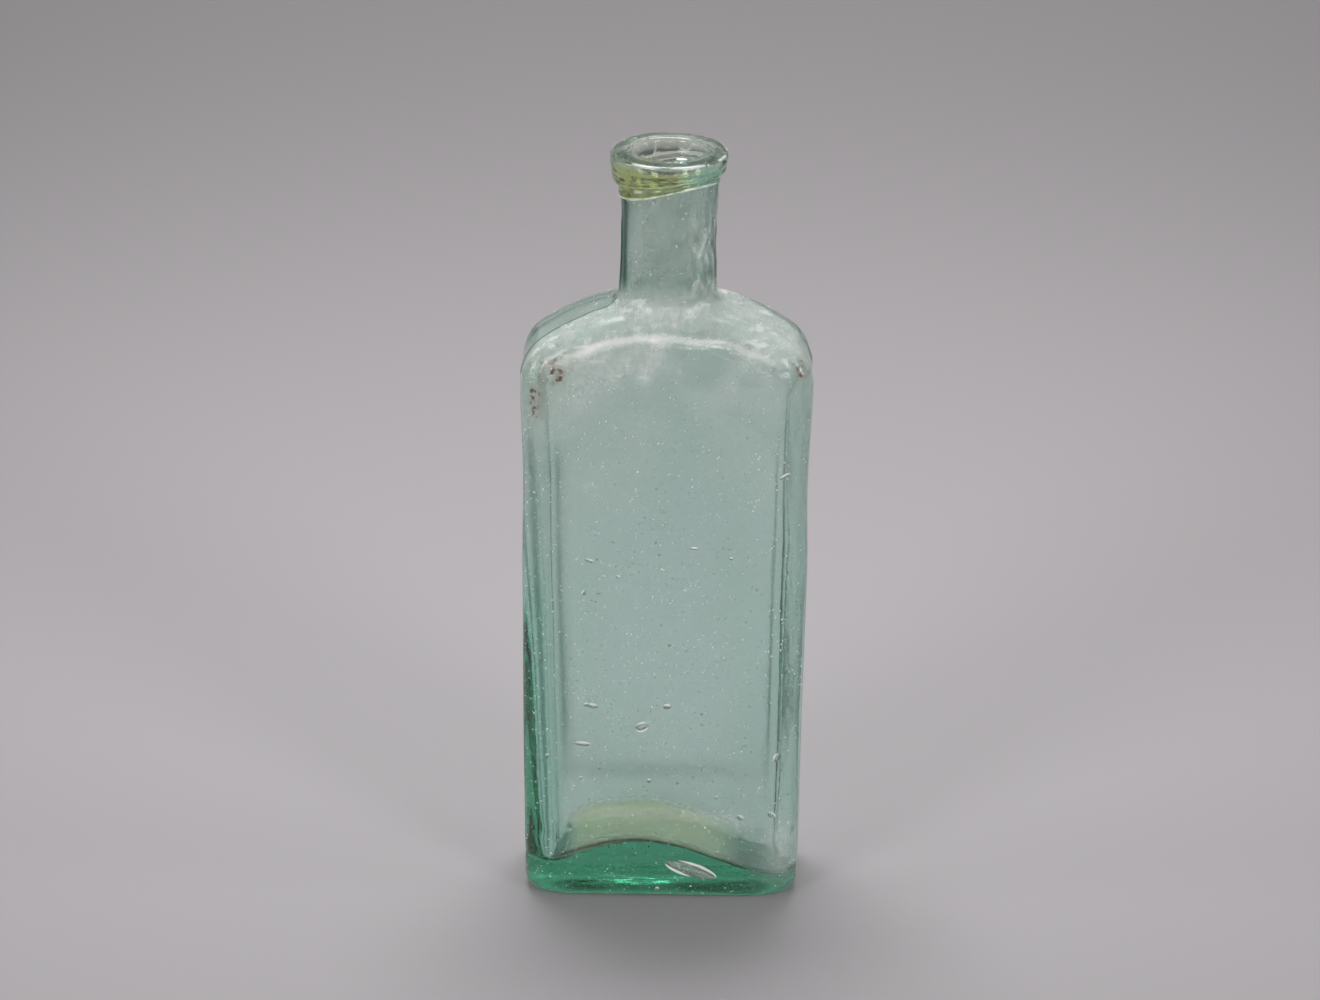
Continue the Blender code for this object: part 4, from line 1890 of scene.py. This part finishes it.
@dataclass(frozen=True)
class Remap:
    """Map from one range of values to another, held at both ends.

    Attributes:
        low: Value that becomes to_low.
        high: Value that becomes to_high.
        to_low: Start of the new range.
        to_high: End of the new range.
        soft: Whether the map eases in and out.
    """

    low: float
    high: float
    to_low: float = 0.0
    to_high: float = 1.0
    soft: bool = False


@dataclass(frozen=True)
class Grain:
    """Cloudy noise.

    Attributes:
        size: Usual size of its patches, in millimetres.
        stretch: How much longer they are along each axis.
        detail: Number of finer layers.
        roughness: Strength of the finer layers.
    """

    size: float
    stretch: tuple[float, float, float] = (1, 1, 1)
    detail: float = 3.0
    roughness: float = 0.55


class NodeSheet:
    """Writes the shader nodes of one material or of the room."""

    def __init__(self, owner: bpy.types.Material | bpy.types.World) -> None:
        """Start with empty nodes.

        Args:
            owner: What the nodes belong to.
        """
        owner.use_nodes = True
        self.owner = owner
        self.tree = owner.node_tree
        self.tree.nodes.clear()
        self.coordinates = self.node("ShaderNodeTexCoord").outputs

    def node(
        self, kind: str, inputs: dict[str | int, SocketValue] | None = None, **settings: object
    ) -> bpy.types.Node:
        """Add a node.

        Args:
            kind: Blender's name of the node type.
            inputs: Values or sockets for its inputs, by name or number.
            settings: Its other settings.

        Returns:
            The node.
        """
        made = self.tree.nodes.new(kind)
        for key, value in settings.items():
            setattr(made, key, value)
        for key, value in (inputs or {}).items():
            if isinstance(value, bpy.types.NodeSocket):
                self.tree.links.new(value, made.inputs[key])
            else:
                made.inputs[key].default_value = value
        return made

    def mark(self, mark: Mark) -> bpy.types.NodeSocket:
        """The value of a surface mark."""
        return self.node("ShaderNodeAttribute", attribute_name=mark.value).outputs["Fac"]

    def math(
        self, how: str, a: SocketValue, b: SocketValue = 0.0, clamp: bool = False
    ) -> bpy.types.NodeSocket:
        """One step of arithmetic.

        Args:
            how: Blender's name of the operation.
            a: First value.
            b: Second value.
            clamp: Whether the result is held between 0 and 1.

        Returns:
            The result.
        """
        made = self.node("ShaderNodeMath", {0: a, 1: b}, operation=how, use_clamp=clamp)
        return made.outputs[0]

    def times(
        self, a: SocketValue, b: SocketValue, clamp: bool = False
    ) -> bpy.types.NodeSocket:
        """Product of two values, held between 0 and 1 if clamp is set."""
        return self.math("MULTIPLY", a, b, clamp)

    def plus(self, a: SocketValue, b: SocketValue, clamp: bool = False) -> bpy.types.NodeSocket:
        """Sum of two values, held between 0 and 1 if clamp is set."""
        return self.math("ADD", a, b, clamp)

    def minus(self, a: SocketValue, b: SocketValue) -> bpy.types.NodeSocket:
        """First value less the second."""
        return self.math("SUBTRACT", a, b)

    def larger(self, a: SocketValue, b: SocketValue) -> bpy.types.NodeSocket:
        """The larger of two values."""
        return self.math("MAXIMUM", a, b)

    def spread(self, value: SocketValue, remap: Remap) -> bpy.types.NodeSocket:
        """Map a value.

        Args:
            value: Value to map.
            remap: The ranges.

        Returns:
            The mapped value.
        """
        inputs = {
            "Value": value,
            "From Min": remap.low,
            "From Max": remap.high,
            "To Min": remap.to_low,
            "To Max": remap.to_high,
        }
        how = "SMOOTHSTEP" if remap.soft else "LINEAR"
        return self.node("ShaderNodeMapRange", inputs, interpolation_type=how).outputs[0]

    def noise(self, grain: Grain) -> bpy.types.NodeSocket:
        """Add cloudy noise.

        Args:
            grain: Its size and roughness.

        Returns:
            The noise, mostly between 0.3 and 0.7.
        """
        scale = [1 / (grain.size * MM * length) for length in grain.stretch]
        inputs = {"Vector": self.coordinates["Object"], "Scale": scale}
        inputs = {
            "Vector": self.node("ShaderNodeMapping", inputs).outputs[0],
            "Scale": 1.0,
            "Detail": grain.detail,
            "Roughness": grain.roughness,
        }
        return self.node("ShaderNodeTexNoise", inputs).outputs["Fac"]

    def cells(self, size: float) -> bpy.types.NodeSocket:
        """Distance to the nearest of many scattered points, in cell widths.

        Args:
            size: Usual distance between them, in millimetres.

        Returns:
            The distance.
        """
        inputs = {"Vector": self.coordinates["Object"], "Scale": 1 / (size * MM)}
        return self.node("ShaderNodeTexVoronoi", inputs).outputs["Distance"]

    def blend(
        self, share: SocketValue, low: SocketValue, high: SocketValue
    ) -> bpy.types.NodeSocket:
        """Mix two colours.

        Args:
            share: How much of the second.
            low: First colour.
            high: Second colour.

        Returns:
            The mixed colour.
        """
        sides = [(*c, 1.0) if isinstance(c, tuple) else c for c in (low, high)]
        inputs = {0: share, 6: sides[0], 7: sides[1]}
        return self.node("ShaderNodeMix", inputs, data_type="RGBA").outputs[2]

    def relief(self, layers: Sequence[tuple[SocketValue, float]]) -> bpy.types.NodeSocket:
        """Turn layers of heights into a bent normal.

        Args:
            layers: Heights from 0 to 1, and what 1 stands for in millimetres.

        Returns:
            The normal.
        """
        bent: dict[str | int, SocketValue] = {}
        for height, depth in layers:
            inputs = {"Height": height, "Distance": depth * MM, "Strength": 1.0, **bent}
            bent["Normal"] = self.node("ShaderNodeBump", inputs).outputs[0]
        return bent["Normal"]

    def glass(
        self, absorbed: Colour, density: float, inputs: dict[str | int, SocketValue]
    ) -> bpy.types.Material:
        """Finish the material as tinted glass.

        Args:
            absorbed: Colour of the glass's own tint.
            density: Strength of the tint per metre.
            inputs: Inputs of the surface shader.

        Returns:
            The material.
        """
        inputs = {"IOR": GLASS_IOR, **inputs}
        surface = self.node("ShaderNodeBsdfPrincipled", inputs, distribution="MULTI_GGX")
        tint = {"Color": (*absorbed, 1.0), "Density": density}
        body = self.node("ShaderNodeVolumeAbsorption", tint)
        out = {"Surface": surface.outputs[0], "Volume": body.outputs[0]}
        self.node("ShaderNodeOutputMaterial", out)
        return self.owner


@dataclass(frozen=True)
class AquaGlass:
    """Old aqua glass, hazed inside, cream crust on the floor, rust stains, painted highlights and
    shade.
    """

    clear: Colour = (0.985, 1.0, 0.99)
    # also the white of the painted highlights that the haze mark carries
    haze: Colour = (0.94, 0.94, 0.90)
    cream: Colour = (1.0, 0.91, 0.68)
    rust: Colour = (0.13, 0.08, 0.05)
    rust_halo: Colour = (0.80, 0.68, 0.60)
    # dark colour of the painted shade line at the floor's front corner
    corner_shade: Colour = (0.09, 0.11, 0.05)
    # dark green of the real cords, and of the painted shade: outlines, neck edges, crinkle flecks
    # and the seam line
    cord: Colour = (0.03, 0.18, 0.12)
    tint: Colour = (0.0, 0.716, 0.507)
    density: float = 92.0

    cloud_grain: Grain = Grain(7, detail=5.0, roughness=0.62)
    mist_grain: Grain = Grain(1.1, (1, 1, 1.5))
    dab_grain: Grain = Grain(2.4, (2.2, 1, 0.7), 2.0)
    patch_grain: Grain = Grain(5)
    rust_grain: Grain = Grain(1.5, detail=4.0, roughness=0.7)
    cord_grain: Grain = Grain(3.2, (1, 1, 5.0), 2.0)
    peel_grain: Grain = Grain(1.4, detail=2.0)

    haze_in_clouds: Remap = Remap(0.30, 0.70, 0.76, 1.24)
    haze_in_mist: Remap = Remap(0.3, 0.7, 0.82, 1.18)
    dabs: Remap = Remap(0.58, 0.66, 0.0, 0.30)
    dabbed_haze: Remap = Remap(0.22, 0.40)
    specked_patches: Remap = Remap(0.34, 0.54)
    specks_in_haze: Remap = Remap(0.08, 0.32, 1.0, 0.15)
    specks_inside: Remap = Remap(0.0, 1.0, 1.0, 0.2)
    dot_cell: float = 2.7
    dots: Remap = Remap(0.05, 0.10, 0.90, 0.0)
    speck_cell: float = 1.2
    specks: Remap = Remap(0.08, 0.18, 0.75, 0.0)
    scuff_in_mist: Remap = Remap(0.35, 0.65, 0.02, 0.16)

    crust_in_clouds: Remap = Remap(0.30, 0.55, 0.90, 1.05)
    corner_shade_in_mist: Remap = Remap(0.3, 0.6, 0.7, 1.0)
    rust_in_grains: Remap = Remap(0.62, 0.72)
    rust_on_mark: Remap = Remap(0.05, 0.3)
    rust_gain: float = 0.28
    halo_on_mark: Remap = Remap(0.0, 0.6, 0.0, 0.8)
    # painted shade: dark line along the seam
    seam_shade_line: Remap = Remap(0.035, 0.07, 0.88, 0.0)
    seam_to_right: Remap = Remap(5 * MM, 12 * MM, 1.0, 0.4)

    crust_cover: float = 0.97
    rust_cover: float = 0.85
    corner_shade_cover: float = 0.90
    rough_in_haze: Remap = Remap(0.0, 0.5, 0.015, 0.30)
    crust_rough: float = 0.35
    scuff_rough: float = 0.5
    cord_depth: float = 0.045
    peel_depth: float = 0.006
    film_depth: float = 0.09
    least_film: float = 0.2

    def speckled(
        self, sheet: NodeSheet, thick: SocketValue, inside: SocketValue
    ) -> bpy.types.NodeSocket:
        """White dots and specks where the haze is thin, in patches: dirt, and painted highlights of
        tiny bubbles.

        Args:
            sheet: Nodes of the material.
            thick: Thickness of the haze.
            inside: 1 on the inside of the glass.

        Returns:
            How white they are.
        """
        patch = sheet.spread(sheet.noise(self.patch_grain), self.specked_patches)
        patch = sheet.times(patch, sheet.spread(thick, self.specks_in_haze))
        dots = sheet.spread(sheet.cells(self.dot_cell), self.dots)
        specks = sheet.spread(sheet.cells(self.speck_cell), self.specks)
        dots = sheet.times(sheet.larger(dots, specks), patch)
        return sheet.times(dots, sheet.spread(inside, self.specks_inside))

    def seam(self, sheet: NodeSheet) -> bpy.types.NodeSocket:
        """Painted shade: dark line along the mould's seam, fainter at the right.

        Args:
            sheet: Nodes of the material.

        Returns:
            How dark it is.
        """
        off = sheet.math("ABSOLUTE", sheet.minus(sheet.mark(Mark.SEAM), 0.5))
        where = {0: sheet.coordinates["Object"]}
        across = sheet.node("ShaderNodeSeparateXYZ", where).outputs["X"]
        fainter = sheet.spread(across, self.seam_to_right)
        return sheet.times(sheet.spread(off, self.seam_shade_line), fainter)

    def rusted(self, sheet: NodeSheet, mark: SocketValue) -> bpy.types.NodeSocket:
        """Grains of rust, closer together where the mark is strong.

        Args:
            sheet: Nodes of the material.
            mark: Mark of the rust stains.

        Returns:
            How rusty the glass is.
        """
        level = sheet.plus(sheet.noise(self.rust_grain), sheet.times(mark, self.rust_gain))
        grains = sheet.spread(level, self.rust_in_grains)
        return sheet.times(grains, sheet.spread(mark, self.rust_on_mark))

    def make(self) -> bpy.types.Material:
        """Write the material.

        Returns:
            The material.
        """
        sheet = NodeSheet(bpy.data.materials.new("old_aqua_glass"))
        # the haze mark holds real haze and painted highlights
        inside, film_and_highlight = sheet.mark(Mark.INSIDE), sheet.mark(Mark.HAZE_AND_HIGHLIGHT)
        cloud, mist = sheet.noise(self.cloud_grain), sheet.noise(self.mist_grain)
        thick = sheet.times(film_and_highlight, sheet.spread(cloud, self.haze_in_clouds))
        thick = sheet.times(thick, sheet.spread(mist, self.haze_in_mist))
        dab = sheet.spread(sheet.noise(self.dab_grain), self.dabs)
        # dabs on the outside where the haze mark is strong, the painted highlight lines among them
        rubbed = sheet.times(sheet.spread(film_and_highlight, self.dabbed_haze), sheet.minus(1.0, inside))
        thick = sheet.plus(thick, sheet.times(dab, rubbed))
        haze = sheet.plus(thick, self.speckled(sheet, thick, inside), clamp=True)
        scuff_mark, rust_mark = sheet.mark(Mark.SCUFF), sheet.mark(Mark.RUST)
        haze = sheet.larger(haze, sheet.times(scuff_mark, sheet.spread(mist, self.scuff_in_mist)))

        crust = sheet.spread(cloud, self.crust_in_clouds)
        crust = sheet.times(sheet.mark(Mark.CREAM), crust, clamp=True)
        rust = self.rusted(sheet, rust_mark)
        # painted shade: dark line at the floor's front corner
        corner_shade = sheet.times(sheet.mark(Mark.CORNER_SHADE), sheet.spread(mist, self.corner_shade_in_mist))
        # real cords, and painted shade: dark outlines, neck edges, crinkle flecks and the seam line
        dark = sheet.larger(sheet.mark(Mark.CORD_AND_SHADE), self.seam(sheet))
        colour: SocketValue = self.clear
        for share, coat in (
            (haze, self.haze),
            (sheet.spread(rust_mark, self.halo_on_mark), self.rust_halo),
            (crust, self.cream),
            (rust, self.rust),
            (corner_shade, self.corner_shade),
            (dark, self.cord),
        ):
            colour = sheet.blend(share, colour, coat)

        closed = sheet.plus(haze, sheet.times(crust, self.crust_cover), clamp=True)
        closed = sheet.larger(closed, sheet.times(rust, self.rust_cover))
        closed = sheet.larger(closed, sheet.times(corner_shade, self.corner_shade_cover))
        rough = sheet.spread(haze, self.rough_in_haze)
        rough = sheet.plus(rough, sheet.times(crust, self.crust_rough))
        rough = sheet.larger(rough, sheet.times(scuff_mark, self.scuff_rough))
        film_and_highlight = sheet.times(mist, sheet.larger(thick, sheet.times(inside, self.least_film)))
        layers = (
            (sheet.noise(self.cord_grain), self.cord_depth),
            (sheet.noise(self.peel_grain), self.peel_depth),
            (film_and_highlight, self.film_depth),
        )
        surface = {
            "Base Color": colour,
            "Roughness": rough,
            "Transmission Weight": sheet.minus(1.0, closed),
            "Normal": sheet.relief(layers),
        }
        return sheet.glass(self.tint, self.density, surface)


@dataclass(frozen=True)
class OliveGlass:
    """Glass of the lip: olive where it was wound on first, aqua at the right; painted highlights
    and shade.
    """

    clear: Colour = (0.98, 1.0, 0.98)
    olive: Colour = (0.64, 0.68, 0.22)
    aqua: Colour = (0.42, 0.80, 0.62)
    # white of the painted highlights
    white: Colour = (0.93, 0.95, 0.90)
    # dark colour of the painted shade on the rim's top
    edge: Colour = (0.16, 0.26, 0.20)
    tint: Colour = (0.35, 0.62, 0.42)
    density: float = 42.0

    streak_grain: Grain = Grain(3.0, (1.6, 1.6, 0.35))
    mist_grain: Grain = Grain(0.9)
    streaks: Remap = Remap(0.3, 0.7, -0.16, 0.16)
    aqua_side: Remap = Remap(0.52, 0.80)
    rough_in_mist: Remap = Remap(0.35, 0.75, 0.01, 0.07)
    clear_in_mist: Remap = Remap(0.55, 0.75, 1.0, 0.94)
    streak_depth: float = 0.05
    mist_depth: float = 0.006

    def make(self) -> bpy.types.Material:
        """Write the material.

        Returns:
            The material.
        """
        sheet = NodeSheet(bpy.data.materials.new("olive_lip_glass"))
        streak, mist = sheet.noise(self.streak_grain), sheet.noise(self.mist_grain)
        # on the lip the haze mark holds only painted highlights
        film_and_highlight = sheet.mark(Mark.HAZE_AND_HIGHLIGHT)
        share = sheet.plus(sheet.mark(Mark.WRAP), sheet.spread(streak, self.streaks))
        colour = sheet.blend(sheet.spread(share, self.aqua_side), self.olive, self.aqua)
        colour = sheet.blend(sheet.mark(Mark.OUTSIDE), self.clear, colour)
        # painted shade on the rim's top
        colour = sheet.blend(sheet.mark(Mark.CORD_AND_SHADE), colour, self.edge)
        colour = sheet.blend(film_and_highlight, colour, self.white)
        layers = ((streak, self.streak_depth), (mist, self.mist_depth))
        surface = {
            "Base Color": colour,
            "Roughness": sheet.spread(mist, self.rough_in_mist),
            "Transmission Weight": sheet.minus(sheet.spread(mist, self.clear_in_mist), film_and_highlight),
            "Normal": sheet.relief(layers),
        }
        return sheet.glass(self.tint, self.density, surface)


@dataclass(frozen=True)
class Softbox:
    """A soft lamp.

    Attributes:
        name: Name of the lamp.
        place: Where it hangs.
        target: Where it points.
        size: Width and height in metres.
        radiance: How bright its face is from straight ahead, where 1 is white.
        beam: Degrees into which a grid on its face narrows the light.
    """

    name: str
    place: tuple[float, float, float]
    target: tuple[float, float, float]
    size: tuple[float, float]
    radiance: float
    beam: float = 180.0

    def energy(self) -> float:
        """Watts that give the face its brightness, less where a grid narrows the beam.

        Returns:
            The watts.
        """
        flux = self.radiance * math.pi * self.size[0] * self.size[1]
        if self.beam >= 180:
            return flux
        half = math.radians(self.beam) / 2
        return flux * (math.tan(half) - half) / math.tan(half)

    def build(self) -> bpy.types.Object:
        """Hang the lamp.

        Returns:
            The lamp object.
        """
        data = bpy.data.lights.new(self.name, "AREA")
        data.shape = "RECTANGLE"
        data.size, data.size_y = self.size
        data.energy = self.energy()
        data.spread = math.radians(self.beam)
        lamp = bpy.data.objects.new(self.name, data)
        way = Vector(self.target) - Vector(self.place)
        lamp.rotation_euler = way.to_track_quat("-Z", "Y").to_euler()
        lamp.location = self.place
        lamp.visible_camera = False
        bpy.context.scene.collection.objects.link(lamp)
        return lamp


SOFTBOXES = (
    Softbox("top_softbox", (-0.03, 0.30, 0.95), (0, 0.17, 0.0), (0.56, 0.36), 14.0, 84.0),
    Softbox("backdrop_softbox", (0.0, 0.95, 0.80), (0, 0.90, 0.0), (1.20, 0.30), 5.0, 70.0),
    Softbox("left_softbox", (-0.52, -0.58, 0.44), (0, 0, 0.10), (0.26, 0.30), 11.0, 52.0),
    Softbox("right_softbox", (0.52, -0.58, 0.44), (0, 0, 0.10), (0.22, 0.30), 11.0, 52.0),
    Softbox("left_strip", (-0.85, -0.10, 0.30), (0, 0, 0.11), (0.20, 0.50), 7.0, 36.0),
    Softbox("right_strip", (0.85, -0.10, 0.30), (0, 0, 0.11), (0.20, 0.50), 7.0, 36.0),
    Softbox("front_strip", (-0.02, -1.15, 0.17), (0, 0, 0.12), (0.90, 0.18), 10.0, 34.0),
)


@dataclass(frozen=True)
class Studio:
    """Plain pale floor under soft light, which changes with the way up and to the back."""

    floor_colour: Colour = (0.42, 0.398, 0.415)
    floor_half: float = 6.0
    floor_gap: float = 0.02 * MM
    floor_rough: float = 0.9
    sky_colour: Colour = (1, 0.995, 0.99)
    overhead: Remap = Remap(0.55, 0.90, 0.46, 0.24, soft=True)
    behind: Remap = Remap(-0.1, 0.5, 0.42, 1.0, soft=True)
    bounces: int = 24
    glossy_bounces: int = 8

    def floor(self) -> bpy.types.Object:
        """Lay the floor.

        Returns:
            The floor object.
        """
        mesh = bpy.data.meshes.new("studio_floor")
        half = self.floor_half
        low = -self.floor_gap
        corners = [(-half, -half, low), (half, -half, low), (half, half, low), (-half, half, low)]
        mesh.from_pydata(corners, [], [(0, 1, 2, 3)])
        floor = bpy.data.objects.new("studio_floor", mesh)
        bpy.context.scene.collection.objects.link(floor)
        material = bpy.data.materials.new("pale_paper")
        material.use_nodes = True
        shader = material.node_tree.nodes["Principled BSDF"]
        shader.inputs["Base Color"].default_value = (*self.floor_colour, 1)
        shader.inputs["Roughness"].default_value = self.floor_rough
        mesh.materials.append(material)
        return floor

    def sky(self) -> None:
        """Light the room, brighter at the back and dimmer overhead."""
        world = bpy.data.worlds.new("studio_room")
        bpy.context.scene.world = world
        sheet = NodeSheet(world)
        way = sheet.node("ShaderNodeSeparateXYZ", {0: sheet.coordinates["Generated"]}).outputs
        strength = sheet.times(
            sheet.spread(way["Z"], self.overhead), sheet.spread(way["Y"], self.behind)
        )
        inputs = {"Color": (*self.sky_colour, 1), "Strength": strength}
        light = sheet.node("ShaderNodeBackground", inputs)
        sheet.node("ShaderNodeOutputWorld", {"Surface": light.outputs[0]})

    def build(self) -> None:
        """Lay the floor, light the room and hang the lamps."""
        self.floor()
        self.sky()
        for softbox in SOFTBOXES:
            softbox.build()
        scene = bpy.context.scene
        scene.view_settings.view_transform = "Standard"
        scene.cycles.max_bounces = self.bounces
        scene.cycles.transmission_bounces = self.bounces
        scene.cycles.glossy_bounces = self.glossy_bounces


def dress(piece: bpy.types.Object, finish: bpy.types.Material, node: str) -> None:
    """Give a piece its finish and put it in place of its plain solid.

    Args:
        piece: The piece.
        finish: Its material.
        node: Solid that it stands for.
    """
    piece.data.materials.append(finish)
    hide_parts(node)
    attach(piece, "root")
    LOG.info("%s: %d faces, stands for %s", piece.name, len(piece.data.polygons), node)


def main() -> None:
    """Build the whole portrait."""
    logging.basicConfig(level=logging.INFO, format="%(name)s: %(message)s")
    camera = PhotoCamera()
    camera.build()
    form = BottleForm()
    dress(BlownBody(form, camera).build(), AquaGlass().make(), "bottle_body")
    dress(AppliedLip(form).build(), OliveGlass().make(), "applied_lip")
    Studio().build()


if __name__ == "__main__":
    main()
